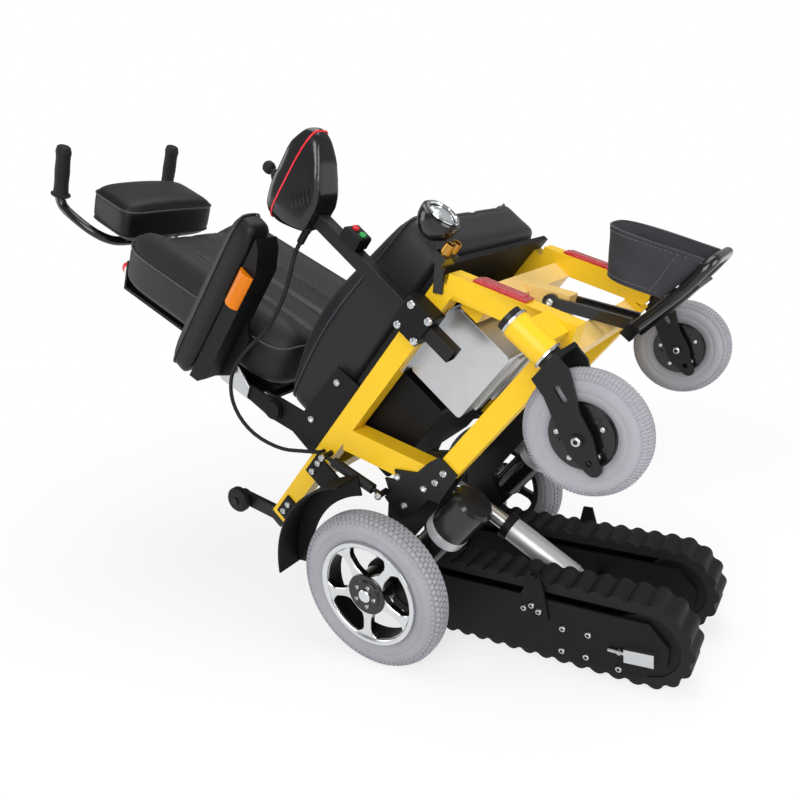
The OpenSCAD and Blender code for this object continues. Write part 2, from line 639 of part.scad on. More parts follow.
arm_back = 51;
cheek_y = brk_y + plate_t + gap;
shell_h = 34;
pin_drop = 10 + shell_h / 2;
module elbow(s, turn) chair() translate([elbow_u, 0, elbow_v - pin_drop]) rotate([0, -turn, 0]) translate([0, 0, pin_drop])
    mirror([0, s < 0 ? 1 : 0, 0]) children();
module armrest() difference() {
    union() {
        slab(cheek_y, cheek_y + arm_w - 8) polygon([[-arm_back + 14, -10], [arm_l - arm_back - 14, -10], [arm_l - arm_back - 30, -26],
            [arm_l - arm_back - 70, -10 - shell_h], [-arm_back + 44, -16 - shell_h], [-arm_back + 20, -34]]);
        slab(cheek_y, cheek_y + 12) polygon([[-24, -40], [150, -40], [116, -70], [6, -68]]);
    }
    ybar(0, -pin_drop, cheek_y - 1, cheek_y + 24, elbow_r + run);
}
module armrest_pad() translate([arm_l / 2 - arm_back, cheek_y + arm_w / 2, 23.6])
    padded([arm_l / 2, arm_w / 2, 33], 0.3, 0.5, 36, 12, [[0, 30, 4]]);
// Half-round reflector on the outer face, near the front of the arm
light_u = 186;
light_l = 82;
light_r = 19;
module armrest_light() difference() {
    xbar(cheek_y + arm_w - 14, -pin_drop, light_u, light_u + light_l, light_r);
    translate([light_u - 1, cheek_y + arm_w - 8 - 2 * light_r + 0.3, -pin_drop - light_r - 1]) cube([light_l + 2, 2 * light_r, 2 * light_r + 2]);
}
module armrest_right() color(black) elbow(-1, 0) armrest();
module armrest_left() color(black) elbow(1, left_up) armrest();
module armrest_pad_right() color(charcoal) elbow(-1, 0) armrest_pad();
module armrest_pad_left() color(charcoal) elbow(1, left_up) armrest_pad();
module armrest_light_right() color("#E07A1E") elbow(-1, 0) armrest_light();
module armrest_light_left() color("#E07A1E") elbow(1, left_up) armrest_light();

head_v = back_top + 137;
head_h = 150;
head_t = 96;
module headrest_pad() color(black) back() difference() {
    translate([rod_n + head_t / 2 + 8, 0, head_v]) rotate([0, 90, 0])
        padded([head_h / 2, head_w / 2, head_t / 2], 0.32, 0.42, 48, 14, [[-head_w / 2 + 40, 50, 14], [head_w / 2 - 40, 50, 14]]);
    for (q = [-1, 1]) {
        translate([rod_n, q * rod_y, head_v - head_h]) cylinder(h = head_h + 0.4, r = rod_r + 0.4);
        xbar(q * rod_y, head_v - 8, rod_n - 1, rod_n + 16, 6.3);
    }
}
module headrest_rods() color(silver) back() for (q = [-1, 1]) {
    translate([rod_n, q * rod_y, block_low + 40]) cylinder(h = head_v - block_low - 40, r = rod_r);
    xbar(q * rod_y, head_v - 8, rod_n, rod_n + 16, 6);
}

// Joystick

post_u = 468;
post_y = -frame_y - 7 - post / 2;
box_u = post_u - 59;
trim_v = post_top + 78;
stick_v = post_top + 98;

module joystick_post() color(black) chair() difference() {
    translate([post_u - post / 2, post_y - post / 2, 175]) cube([post, post, post_top - 175]);
    translate([post_u - post / 2 + 3, post_y - post / 2 + 3, 170]) cube([post - 6, post - 6, post_top - 180]);
}

// Side outline of the housing, and its rounded plan seen from above
module box_side() translate([0, post_top]) polygon([[box_u, 70], [box_u + 5, 90], [box_u + 21, 100], [post_u + 2, 108], [box_u + box_l - 43, 110],
    [box_u + box_l - 9, 99], [box_u + box_l, 86], [box_u + box_l - 6, 68], [box_u + box_l - 34, 40], [post_u + 44, 6], [post_u + 26, 0],
    [post_u - 26, 0], [box_u + 23, 20]]);
module box_plan(w) translate([box_u + box_l / 2, post_y]) polygon([for (a = [7.5 : 15 : 360])
    [(box_l / 2 + w) * sgp(cos(a), 0.55), (box_w / 2 + w) * sgp(sin(a), 0.62) * (1 - 0.16 * cos(a))]]);
module box_block(w) intersection() {
    slab(post_y - box_w, post_y + box_w) box_side();
    translate([0, 0, post_top - 20]) linear_extrude(200) box_plan(w);
}
// Ribbed strain relief that the cable comes out of, straight back along the rail so that it slides clear of the cable
boot_u = 402.3;
boot_v = post_top + 14;
boot_r = 5.6;
module cable_boot() translate([boot_u, post_y, boot_v]) rotate([0, 90, 0]) rotate_extrude() polygon(concat([[0, 0], [boot_r, 0]],
    [for (i = [0 : 4]) each [[boot_r, 2 + 5 * i], [boot_r + 1.5, 2.6 + 5 * i], [boot_r + 1.5, 4.4 + 5 * i], [boot_r, 5 + 5 * i]]],
    [[boot_r + 2.4, 28], [boot_r + 3, 44], [0, 44]]));
module joystick_box() color(black) chair() difference() {
    union() {
        box_block(0);
        cable_boot();
    }
    translate([box_u - 10, post_y - box_w, trim_v]) cube([box_l + 20, 2 * box_w, 3]);
    translate([post_u, post_y, stick_v - 10]) cylinder(h = 60, r = 25);
    ybar(post_u, stick_v, post_y - 32, post_y + 32, 4 + run);
}
module joystick_trim() color("#B8232B") chair() intersection() {
    box_block(0.8);
    translate([box_u - 10, post_y - box_w, trim_v]) cube([box_l + 20, 2 * box_w, 3]);
}
module joystick_gimbal() color(silver) chair() {
    ybar(post_u, stick_v, post_y - 31, post_y + 31, 4);
    xbar(post_y, stick_v, post_u - 13, post_u + 13, 3.5);
    translate([post_u - 7, post_y - 7, stick_v - 5]) cube([14, 14, 10]);
}
module joystick_stick() color("#101011") chair() translate([post_u, post_y, stick_v]) difference() {
    union() {
        for (q = [-1, 1]) translate([q * 10.5 - 2, -6, -5]) cube([4, 12, 14]);
        translate([-12.5, -6, 8]) cube([25, 12, 4]);
        translate([0, 0, 11]) rotate_extrude() polygon([[0, 0], [17, 0], [17, 3], [14, 5], [16, 8], [12, 10], [13, 13], [9, 15],
            [10, 18], [6, 20], [6, 25], [10, 28], [12, 34], [11, 41], [7, 45], [0, 46]]);
    }
    xbar(0, 0, -20, 20, 3.5 + run);
}

sw_u = post_u + post / 2;
sw_v = 441;
sw_l = 26;
btn_r = 6;
module switch_box() color(black) chair() difference() {
    round_slab(sw_u, sw_u + sw_l, sw_v - 20, sw_v + 20, post_y - 20, post_y + 14, 5);
    for (q = [-1, 1]) xbar(post_y - 3, sw_v + 9 * q, sw_u + sw_l - 13, sw_u + sw_l + 1, btn_r + run);
}
module button(q) chair() xbar(post_y - 3, sw_v + 9 * q, sw_u + sw_l - 9, sw_u + sw_l + 4, btn_r);
module button_red() color("#C3242B") button(1);
module button_green() color("#2E9A4A") button(-1);

// Footrest

bar_u = 642;
bar_v = 8;
bar_h = 22;
loop_rise = -14;
module footrest_frame() color(black) chair() {
    r = loop_d / 2;
    for (q = [-1, 1]) {
        difference() {
            union() {
                strut([foot_u, foot_v], [bar_u - 6, bar_v + 12], 20, q > 0 ? 20 + gap : -30, q > 0 ? 30 : -20 - gap);
                ybar(foot_u, foot_v, q > 0 ? 20 + gap : -30, q > 0 ? 30 : -20 - gap, 15);
            }
            ybar(foot_u, foot_v, -40, 40, 6 + run);
        }
    }
    translate([bar_u - bar_h / 2, -loop_w / 2 - 14, bar_v - bar_h / 2]) cube([bar_h, loop_w + 28, bar_h]);
    tube_along(cut(cut([[bar_u + bar_h / 2, -loop_w / 2, bar_v], [loop_front - 60, -loop_w / 2, bar_v + loop_rise],
        [loop_front, -loop_w / 2, bar_v + loop_rise], [loop_front, -loop_w / 2 + 50, bar_v + loop_rise],
        [loop_front, loop_w / 2 - 50, bar_v + loop_rise], [loop_front, loop_w / 2, bar_v + loop_rise],
        [loop_front - 60, loop_w / 2, bar_v + loop_rise], [bar_u + bar_h / 2, loop_w / 2, bar_v]])), r, [0, 0, 1]);
    slab(-loop_w / 2 + 16, loop_w / 2 - 16) polygon([[bar_u, bar_v - 16], [bar_u + 120, bar_v - 28], [bar_u + 121, bar_v - 22], [bar_u, bar_v - 10]]);
}

// The calf strap, a folded band whose hems ring the two legs of the loop
strap_t = 3;
strap_out = 18;
ridge = [[676, 108], [738, 160]];
hem = [[716, 0], [800, 0]];
hem_r = loop_d / 2 + 1.1;
function leg_v(u) = bar_v + loop_rise * min(1, (u - bar_u) / (loop_front - 60 - bar_u));
function strap_mid(t, k) =
    let (a = abs(t), e = hem[0][0] + k * (hem[1][0] - hem[0][0]),
         p = ridge[0] + k * (ridge[1] - ridge[0]), q = [e, leg_v(e) + hem_r + strap_t / 2])
    [p[0] + (q[0] - p[0]) * a, sign(t) * (loop_w / 2 * a + strap_out * sin(180 * a)), p[1] + (q[1] - p[1]) * a + 16 * sin(180 * a)];
strap_nt = 20;
strap_nk = 6;
function id(i, k) = i * (strap_nk + 1) + k;
module calf_strap() color(charcoal) chair() {
    nt = strap_nt;
    nk = strap_nk;
    mid = [for (i = [0 : nt]) [for (k = [0 : nk]) strap_mid(-1 + 2 * i / nt, k / nk)]];
    up = [0, 0, strap_t / 2];
    pts = concat([for (r = mid) each [for (p = r) p + up]], [for (r = mid) each [for (p = r) p - up]]);
    n = (nt + 1) * (nk + 1);
    tris = concat(
        [for (i = [0 : nt - 1], k = [0 : nk - 1]) each [[id(i, k), id(i, k + 1), id(i + 1, k)], [id(i, k + 1), id(i + 1, k + 1), id(i + 1, k)]]],
        [for (i = [0 : nt - 1], k = [0 : nk - 1]) each [[n + id(i, k), n + id(i + 1, k), n + id(i, k + 1)], [n + id(i, k + 1), n + id(i + 1, k), n + id(i + 1, k + 1)]]],
        [for (i = [0 : nt - 1]) each [[id(i, 0), id(i + 1, 0), n + id(i, 0)], [id(i + 1, 0), n + id(i + 1, 0), n + id(i, 0)],
            [id(i, nk), n + id(i, nk), id(i + 1, nk)], [id(i + 1, nk), n + id(i, nk), n + id(i + 1, nk)]]],
        [for (k = [0 : nk - 1]) each [[id(0, k), n + id(0, k), id(0, k + 1)], [id(0, k + 1), n + id(0, k), n + id(0, k + 1)],
            [id(nt, k), id(nt, k + 1), n + id(nt, k)], [id(nt, k + 1), n + id(nt, k + 1), n + id(nt, k)]]]);
    polyhedron(pts, tris, convexity = 4);
}

// Tracks

in_r = track_r - lug_h - belt_t;
roll_r = in_r - gap;
plate_in = belt_y - 7;
plate_out = belt_y + belt_w + 1;
side_t = 6;
act_x = 340;

// The loop's outer line at a share s of its length, at a distance d outside the belt's back
function loop_len() = 2 * track_l + 2 * PI * (in_r + belt_t);
function loop_at(s, d) =
    let (r = in_r + belt_t, t = s * loop_len(), a = PI * r)
    t < track_l ? [t, -r - d]
    : t < track_l + a ? let (f = -90 + 180 * (t - track_l) / a) [track_l + (r + d) * cos(f), (r + d) * sin(f)]
    : t < 2 * track_l + a ? [track_l - (t - track_l - a), r + d]
    : let (f = 90 + 180 * (t - 2 * track_l - a) / a) [(r + d) * cos(f), (r + d) * sin(f)];

module belt_outline() difference() {
    polygon([for (i = [0 : lugs - 1]) each [loop_at((i + 0.08) / lugs, 0), loop_at((i + 0.24) / lugs, 0.62 * lug_h), loop_at((i + 0.4) / lugs, lug_h),
        loop_at((i + 0.6) / lugs, lug_h), loop_at((i + 0.76) / lugs, 0.62 * lug_h), loop_at((i + 0.92) / lugs, 0)]]);
    union() {
        circle(in_r);
        translate([track_l, 0]) circle(in_r);
        translate([0, -in_r]) square([track_l, 2 * in_r]);
    }
}
module track_belts() color(black) tracks() both() slab(belt_y, belt_y + belt_w) belt_outline();

module roller(x, bore) {
    r = roll_r;
    translate([x, belt_y + 2, 0]) rotate([-90, 0, 0]) rotate_extrude()
        polygon([[bore, 0], [r, 0], [r, 14], [r - 8, 18], [r - 8, belt_w - 22], [r, belt_w - 18], [r, belt_w - 4], [bore, belt_w - 4]]);
}
module track_idlers() color("#3A3C40") tracks() both() roller(track_l, 10 + run);
module track_sprockets() color("#3A3C40") tracks() both() roller(0, shaft_d / 2 + run);

module track_plate() difference() {
    union() {
        polygon([[-18, -40], [20, -66], [track_l - 10, -66], [track_l + 40, -30], [track_l + 44, 10], [track_l + 10, 50], [-18, 50], [-34, 20]]);
        circle(34);
    }
    circle(shaft_d / 2 + run);
}
module track_frame() color("#232426") tracks() {
    both() {
        slab(plate_in, plate_in + side_t) track_plate();
        slab(plate_out, plate_out + side_t) track_plate();
        ybar(track_l, 0, plate_in + 1, plate_out + side_t - 1, 10);
        for (x = [110, 350]) ybar(x, -8, plate_in, plate_out, 12);
        // Bracket on the outer plate
        slab(plate_out + side_t, plate_out + side_t + plate_t)
            polygon([[254, 0], [312, 8], [306, 62], [296, 108], [276, 108], [266, 70], [254, 46]]);
        // Tensioner block
        slab(plate_out + side_t, plate_out + side_t + 8) polygon([[track_l - 32, -34], [track_l + 20, -30], [track_l + 20, -4], [track_l - 32, -8]]);
        for (p = [[264, 26], [280, 35], [294, 25]]) ybar(p[0], p[1], plate_out + side_t + plate_t, plate_out + side_t + plate_t + 4, 6);
        for (p = [[338, -2], [387, -1], [335, -50], [382, -49], [442, -55]]) ybar(p[0], p[1], plate_out + side_t, plate_out + side_t + 4, 6);
        ybar(286, 96, plate_out + side_t, plate_out + side_t + plate_t + 8, 7);
    }
    ybar(act_x, 0, -plate_in - 1, plate_in + 1, pin_r);
    ybar(170, -30, -plate_in - 1, plate_in + 1, 14);
}

// Lift actuator, from the tracks' cross pin to the carrier's cross tube

reach = [pivot_back + cross_u * cos(pitch) - cross_v * sin(pitch) - act_x,
    wheel_r + cross_u * sin(pitch) + cross_v * cos(pitch) - track_r];
act_l = norm(reach);
act_a = atan2(reach[1], reach[0]);
rod_d = 34;
module along() tracks() translate([act_x, 0, 0]) rotate([0, -act_a, 0]) children();
stroke = 102;
module actuator_body() color(black) along() difference() {
    union() {
        ybar(0, 0, -22, 22, 17);
        translate([8, -20, -15]) cube([40, 40, 30]);
        xbar(0, 0, 40, 214, 26);
        xbar(0, 0, 196, 214, 29);
        translate([64, 0, 0]) cylinder(h = 108, r = 23);
    }
    ybar(0, 0, -23, 23, pin_r + run);
    xbar(0, 0, 66, 215, rod_d / 2 + run);
}
eye_r = cross_r + 5.5;
module actuator_rod() color(silver) along() difference() {
    union() {
        xbar(0, 0, 68 + stroke + 2, act_l - eye_r - 4, rod_d / 2);
        ybar(act_l, 0, -15, 15, eye_r + 9);
    }
    ybar(act_l, 0, -16, 16, eye_r);
}

// Cable from the joystick housing, past the recliner, to the seat rail
cable_r = 4;
cable_pts = [[402, -237, 534], [384, -237, 534], [350, -245, 518], [300, -252, 499], [222, -256, 494], [145, -262, 514], [70, -264, 516],
    [14, -262, 478], [-5, -256, 412], [18, -246, 340], [60, -238, 296], [80, -236, 277], [84, -229, 269], [84, -217.7, 268.8]];
module joystick_cable() color("#121213") chair() tube_along(cut(cut(cable_pts)), cable_r, [0, 1, 0], 8);

frame();
battery_box();
rear_carrier();
drive_gearboxes();
drive_motors();
mudguards();
rear_outriggers();
seat_pan();
seat_cushion();
post_clamp();
headlamp();
lamp_lens();
charge_sockets();
front_reflectors();
bearing_rings();
frame_bolts();
back_shell();
back_cushion();
push_handle();
handle_grips();
beacon_base();
beacon_dome();
armrest_brackets();
armrest_right();
armrest_left();
armrest_pad_right();
armrest_pad_left();
armrest_light_right();
armrest_light_left();
headrest_pad();
headrest_rods();
rear_tyre_right();
rear_rim_right();
rear_tyre_left();
rear_rim_left();
castor_fork_right();
castor_tyre_right();
castor_hub_right();
castor_fork_left();
castor_tyre_left();
castor_hub_left();
outrigger_wheel_right();
outrigger_wheel_left();
joystick_post();
joystick_box();
joystick_trim();
switch_box();
joystick_gimbal();
joystick_stick();
button_red();
button_green();
footrest_frame();
calf_strap();
track_frame();
track_belts();
track_idlers();
track_sprockets();
actuator_body();
actuator_rod();
joystick_cable();
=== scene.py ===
"""Dressed scene of a stair climbing wheelchair that stands nose-up on its tracks.

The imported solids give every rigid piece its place. This script gives them their
finishes and rounded edges, and makes the upholstery, tyres, cable, strap and the
small repeated details. Lengths in the classes are millimetres in the chair's own
directions; meshes are metres in the frame of the part.
"""

from __future__ import annotations

import json
import logging
import math
from dataclasses import dataclass
from enum import Enum
from typing import Any, Callable, Sequence

import bmesh
import bpy
from mathutils import Euler, Matrix, Vector

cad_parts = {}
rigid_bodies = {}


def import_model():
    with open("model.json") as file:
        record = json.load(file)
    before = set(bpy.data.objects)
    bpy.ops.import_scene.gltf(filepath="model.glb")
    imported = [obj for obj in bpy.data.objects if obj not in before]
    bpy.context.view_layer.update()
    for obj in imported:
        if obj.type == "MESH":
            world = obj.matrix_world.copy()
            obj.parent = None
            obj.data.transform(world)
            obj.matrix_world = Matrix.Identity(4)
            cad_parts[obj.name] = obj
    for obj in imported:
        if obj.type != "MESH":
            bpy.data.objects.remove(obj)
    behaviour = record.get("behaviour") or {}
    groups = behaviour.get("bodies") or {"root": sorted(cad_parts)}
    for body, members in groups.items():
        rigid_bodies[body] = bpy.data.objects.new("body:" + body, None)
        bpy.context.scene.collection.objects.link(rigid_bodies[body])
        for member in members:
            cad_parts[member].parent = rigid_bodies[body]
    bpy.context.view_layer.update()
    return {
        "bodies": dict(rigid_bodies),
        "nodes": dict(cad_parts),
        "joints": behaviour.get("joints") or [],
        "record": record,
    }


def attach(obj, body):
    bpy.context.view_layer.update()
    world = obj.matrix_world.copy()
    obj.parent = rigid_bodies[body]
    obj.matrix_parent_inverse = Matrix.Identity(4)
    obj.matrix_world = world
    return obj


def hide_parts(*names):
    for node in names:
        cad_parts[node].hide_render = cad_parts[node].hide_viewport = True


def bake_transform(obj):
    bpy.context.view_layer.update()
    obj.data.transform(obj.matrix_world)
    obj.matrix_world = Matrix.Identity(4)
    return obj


LOG = logging.getLogger("wheelchair")

MM = 1000.0  # millimetres in a metre
SHARP = 35.0  # degrees; edges sharper than this stay sharp
SIDES = (("right", -1), ("left", 1))

Face = Sequence[int]
Pair = tuple[float, float]
Triple = tuple[float, float, float]
Rule = Callable[[Vector], bool]
Spot = tuple[Vector, Euler]
Obj = bpy.types.Object


# Places


@dataclass(frozen=True)
class Stance:
    """Turns the chair's own millimetres into metres in the frame of the part."""

    pitch: float = math.radians(46.5)
    recline: float = math.radians(15.0)
    axle_x: float = 201.7
    axle_z: float = 160.0
    hinge_u: float = 57.0
    hinge_v: float = 411.0
    pivot_back: float = 10.0
    track_z: float = 85.0

    def chair(self, u: float, y: float, v: float) -> Vector:
        """Point u ahead of and v above the rear axle, square to the seat rail."""
        c, s = math.cos(self.pitch), math.sin(self.pitch)
        return Vector((self.axle_x + u * c - v * s, y, self.axle_z + u * s + v * c)) / MM

    def back(self, n: float, y: float, w: float) -> Vector:
        """Point n in front of and w up the back from the recliner hinge."""
        c, s = math.cos(self.recline), math.sin(self.recline)
        return self.chair(self.hinge_u + n * c - w * s, y, self.hinge_v + n * s + w * c)

    def track(self, x: float, y: float, z: float) -> Vector:
        """Point x ahead of and z above the pivot of the tracks."""
        return Vector((self.axle_x - self.pivot_back + x, y, self.track_z + z)) / MM

    def chair_dir(self, u: float, y: float, v: float) -> Vector:
        """Direction given in the chair's own axes."""
        return (self.chair(u, y, v) - self.chair(0, 0, 0)).normalized()


STANCE = Stance()


# Finishes


class Surface(Enum):
    """How a surface was made, which sets the pattern that it shows."""

    POWDER_COAT = "powder coat"
    LEATHERETTE = "leatherette"
    WOVEN = "woven"
    RUBBER = "rubber"
    BRUSHED = "brushed"
    MACHINED = "machined"
    MOULDED = "moulded"
    GLOSSY = "glossy"
    PRISM = "prism"


@dataclass(frozen=True)
class Finish:
    """One real material: its colour, how it was made and how it takes light."""

    name: str
    hex: str
    surface: Surface
    roughness: float
    metallic: float = 0.0
    grain_mm: float = 1.0
    bump: float = 0.1
    vary: float = 0.12
    coat: float = 0.0
    specular: float = 0.5
    slot: str = ""


def linear(hex_colour: str, gain: float = 1.0) -> tuple[float, float, float, float]:
    """Linear colour of an sRGB hex value.

    Args:
        hex_colour: Colour such as "#E8B41E".
        gain: Factor on the linear value.

    Returns:
        Red, green, blue and alpha.
    """
    raw = [int(hex_colour[i : i + 2], 16) / 255 for i in (1, 3, 5)]
    lin = [c / 12.92 if c <= 0.04045 else ((c + 0.055) / 1.055) ** 2.4 for c in raw]
    return (*(min(1.0, c * gain) for c in lin), 1.0)


def add_node(tree: Any, kind: str, settings: dict[str, Any] | None = None, **links: Any) -> Any:
    """Adds one node with its settings and links.

    Args:
        tree: Node tree that gets the node.
        kind: Blender's name of the node's type.
        settings: Attributes and input values; an input's key is its name or index.
        links: Input name, with _ for a space, and (node, output name).

    Returns:
        The new node.
    """
    made = tree.nodes.new(kind)
    for key, value in (settings or {}).items():
        if isinstance(key, int) or (not hasattr(made, key) and key in made.inputs):
            made.inputs[key].default_value = value
        else:
            setattr(made, key, value)
    for key, (source, output) in links.items():
        by_index = key[0] == "i" and key[1:].isdigit()
        target = made.inputs[int(key[1:]) if by_index else key.replace("_", " ")]
        tree.links.new(source.outputs[output], target)
    return made


class Finishes:
    """The materials of the chair, each built once from its finish."""

    YELLOW = Finish("powder_coated_yellow_steel", "#DEB41E", Surface.POWDER_COAT, 0.38,
                    grain_mm=1.6, bump=0.04, vary=0.07, coat=0.06, specular=0.28, slot="frame")
    # Lighter copy of the frame's yellow: painted light on the front cross beam and centre beam,
    # which are the same yellow steel as the rest of the frame
    YELLOW_PAINTED_LIGHT = Finish("yellow_steel_painted_light", "#DDB96E", Surface.POWDER_COAT, 0.42,
                         grain_mm=1.6, bump=0.04, vary=0.07, specular=0.3, slot="frame")
    BLACK_STEEL = Finish("black_powder_coated_steel", "#111112", Surface.POWDER_COAT, 0.42,
                         grain_mm=1.4, bump=0.08, vary=0.2, specular=0.3, slot="black_metal")
    GLOSS_TUBE = Finish("black_enamelled_tube", "#0E0E0F", Surface.GLOSSY, 0.2,
                        grain_mm=6.0, bump=0.01, vary=0.1, coat=0.3, specular=0.4,
                        slot="black_metal")
    TYRE = Finish("grey_non_marking_tyre_rubber", "#909096", Surface.RUBBER, 0.75,
                  grain_mm=2.4, bump=0.12, vary=0.12, specular=0.3, slot="tyre")
    RIM = Finish("machined_aluminium_alloy", "#D4D6D8", Surface.MACHINED, 0.24, 1.0,
                 grain_mm=0.9, bump=0.05, vary=0.1, slot="rim")
    HUB_BLACK = Finish("gloss_black_enamel", "#0D0D0E", Surface.GLOSSY, 0.22,
                       grain_mm=5.0, bump=0.01, vary=0.1, coat=0.25, specular=0.4,
                       slot="black_metal")
    LEATHER = Finish("charcoal_leatherette", "#1A1A1D", Surface.LEATHERETTE, 0.5,
                     grain_mm=2.2, bump=0.22, vary=0.2, specular=0.28, slot="leather")
    LEATHER_BLACK = Finish("black_leatherette", "#070708", Surface.LEATHERETTE, 0.46,
                           grain_mm=2.2, bump=0.2, vary=0.2, specular=0.28, slot="leather")
    PANEL = Finish("smooth_black_leatherette", "#17171A", Surface.LEATHERETTE, 0.4,
                   grain_mm=1.8, bump=0.1, vary=0.16, specular=0.32, slot="leather")
    PIPING = Finish("leatherette_piping", "#2F3033", Surface.LEATHERETTE, 0.42,
                    grain_mm=1.6, bump=0.1, vary=0.15, specular=0.35, slot="leather")
    CLOTH = Finish("black_woven_nylon", "#35363B", Surface.WOVEN, 0.78,
                   grain_mm=2.4, bump=0.35, vary=0.2, specular=0.25, slot="fabric")
    PLASTIC = Finish("black_moulded_abs", "#080809", Surface.MOULDED, 0.52,
                     grain_mm=0.9, bump=0.1, vary=0.15, specular=0.22, slot="matt_plastic")
    GLOSS_BLACK = Finish("gloss_black_abs", "#101012", Surface.GLOSSY, 0.2,
                         grain_mm=8.0, bump=0.01, vary=0.1, coat=0.3, specular=0.4,
                         slot="black_plastic")
    RUBBER = Finish("black_moulded_rubber", "#121213", Surface.RUBBER, 0.66,
                    grain_mm=1.8, bump=0.16, vary=0.22, specular=0.3, slot="rubber")
    BELT = Finish("black_track_rubber", "#0F0F10", Surface.RUBBER, 0.6,
                  grain_mm=3.0, bump=0.2, vary=0.3, specular=0.28, slot="rubber")
    STEEL = Finish("zinc_plated_steel", "#C6C8CA", Surface.BRUSHED, 0.28, 1.0,
                   grain_mm=1.2, bump=0.05, vary=0.12, slot="steel")
    CHROME = Finish("chrome_plated_steel", "#DCDDDE", Surface.GLOSSY, 0.06, 1.0,
                    grain_mm=9.0, bump=0.0, vary=0.04, slot="chrome")
    SHEET = Finish("brushed_aluminium_sheet", "#C3C5C7", Surface.BRUSHED, 0.33, 1.0,
                   grain_mm=0.8, bump=0.06, vary=0.14, slot="alloy_box")
    BRASS = Finish("turned_brass", "#B78B42", Surface.MACHINED, 0.28, 1.0,
                   grain_mm=0.8, bump=0.05, vary=0.15, slot="brass")
    LENS = Finish("mirrored_polycarbonate_lens", "#DDE2E6", Surface.GLOSSY, 0.1, 0.8,
                  grain_mm=6.0, bump=0.0, vary=0.05, slot="lens")
    RED = Finish("red_reflector_acrylic", "#A5141F", Surface.PRISM, 0.15,
                 grain_mm=5.0, bump=0.5, vary=0.35, coat=0.8, slot="red")
    RED_TRIM = Finish("red_moulded_strip", "#D0202B", Surface.GLOSSY, 0.3,
                      grain_mm=5.0, bump=0.01, vary=0.06, slot="red")
    ORANGE = Finish("amber_reflector_acrylic", "#C46A02", Surface.PRISM, 0.3,
                    grain_mm=6.0, bump=0.4, vary=0.25, coat=0.05, specular=0.2, slot="orange")
    WHITE = Finish("white_moulded_abs", "#E6E5E0", Surface.MOULDED, 0.4,
                   grain_mm=1.2, bump=0.05, vary=0.05, slot="white")
    GREEN = Finish("green_moulded_button", "#2E9A4A", Surface.GLOSSY, 0.3,
                   grain_mm=4.0, bump=0.01, vary=0.08, slot="green")
    BAND = Finish("grey_anodised_band", "#B4B6B8", Surface.BRUSHED, 0.4, 0.6,
                  grain_mm=0.9, bump=0.05, vary=0.12, slot="rim")
    THREAD = Finish("grey_sewing_thread", "#55565A", Surface.WOVEN, 0.8,
                    grain_mm=0.8, bump=0.2, vary=0.1, slot="fabric")

    def __init__(self) -> None:
        """Starts with no material built."""
        self._made: dict[str, bpy.types.Material] = {}

    def get(self, finish: Finish) -> bpy.types.Material:
        """The material of a finish, built at its first use."""
        if finish.name not in self._made:
            self._made[finish.name] = self._build(finish)
        return self._made[finish.name]

    def _build(self, finish: Finish) -> bpy.types.Material:
        """Builds the node tree of one finish.

        Args:
            finish: What the material is.

        Returns:
            The material.
        """
        mat = bpy.data.materials.new(finish.name)
        mat.use_nodes = True
        tree = mat.node_tree
        tree.nodes.clear()
        out = add_node(tree, "ShaderNodeOutputMaterial")
        shader = add_node(tree, "ShaderNodeBsdfPrincipled", {
            "Metallic": finish.metallic, "Coat Weight": finish.coat,
            "Coat Roughness": 0.08, "Specular IOR Level": finish.specular})
        tree.links.new(shader.outputs["BSDF"], out.inputs["Surface"])
        coord = add_node(tree, "ShaderNodeTexCoord")
        height = self._pattern(tree, finish, coord, MM / finish.grain_mm)
        # Broad, faint drift of tone, as dust and handling leave it
        cloud = add_node(tree, "ShaderNodeTexNoise", {
            "Scale": 9.0, "Detail": 4.0, "Roughness": 0.6}, Vector=(coord, "Object"))
        mixed = add_node(tree, "ShaderNodeMath", {"operation": "MULTIPLY_ADD", 1: 0.45},
                         i0=(height, "Value"), i2=(cloud, "Fac"))
        ramp = add_node(tree, "ShaderNodeValToRGB", None, Fac=(mixed, "Value"))
        for index, (place, gain) in enumerate(((0.25, 1 - finish.vary), (0.95, 1 + finish.vary))):
            ramp.color_ramp.elements[index].position = place
            ramp.color_ramp.elements[index].color = linear(finish.hex, gain)
        tree.links.new(ramp.outputs["Color"], shader.inputs["Base Color"])
        rough = add_node(tree, "ShaderNodeMapRange", {
            "To Min": max(0.02, finish.roughness - 0.07), "To Max": finish.roughness + 0.08},
            Value=(cloud, "Fac"))
        tree.links.new(rough.outputs["Result"], shader.inputs["Roughness"])
        if finish.bump > 0:
            relief = add_node(tree, "ShaderNodeBump", {
                "Strength": min(1.0, finish.bump * 2), "Distance": finish.grain_mm * 0.00035},
                Height=(height, "Value"))
            tree.links.new(relief.outputs["Normal"], shader.inputs["Normal"])
        if finish.surface in (Surface.LEATHERETTE, Surface.WOVEN):
            shader.inputs["Sheen Weight"].default_value = 0.05
            shader.inputs["Sheen Roughness"].default_value = 0.4
        return mat

    def _pattern(self, tree: Any, finish: Finish, coord: Any, fine: float) -> Any:
        """Height pattern of a surface, as a node with a Value output.

        Args:
            tree: Node tree of the material.
            finish: What the material is.
            coord: Texture coordinate node.
            fine: Grains per metre.

        Returns:
            A math node.
        """
        kind, place = finish.surface, (coord, "Object")
        if kind in (Surface.LEATHERETTE, Surface.PRISM):
            # Square cells of a reflector, or embossed pebbles that are drawn coarser than
            # the real half millimetre so that they show
            look = {"feature": "F1", "distance": "CHEBYCHEV", "Randomness": 0.05}
            if kind is Surface.LEATHERETTE:
                look = {"feature": "SMOOTH_F1", "Smoothness": 0.5}
            cell = add_node(tree, "ShaderNodeTexVoronoi", {**look, "Scale": fine}, Vector=place)
            return add_node(tree, "ShaderNodeMath", {"operation": "SUBTRACT", 0: 1.0},
                            i1=(cell, "Distance"))
        if kind is Surface.WOVEN:
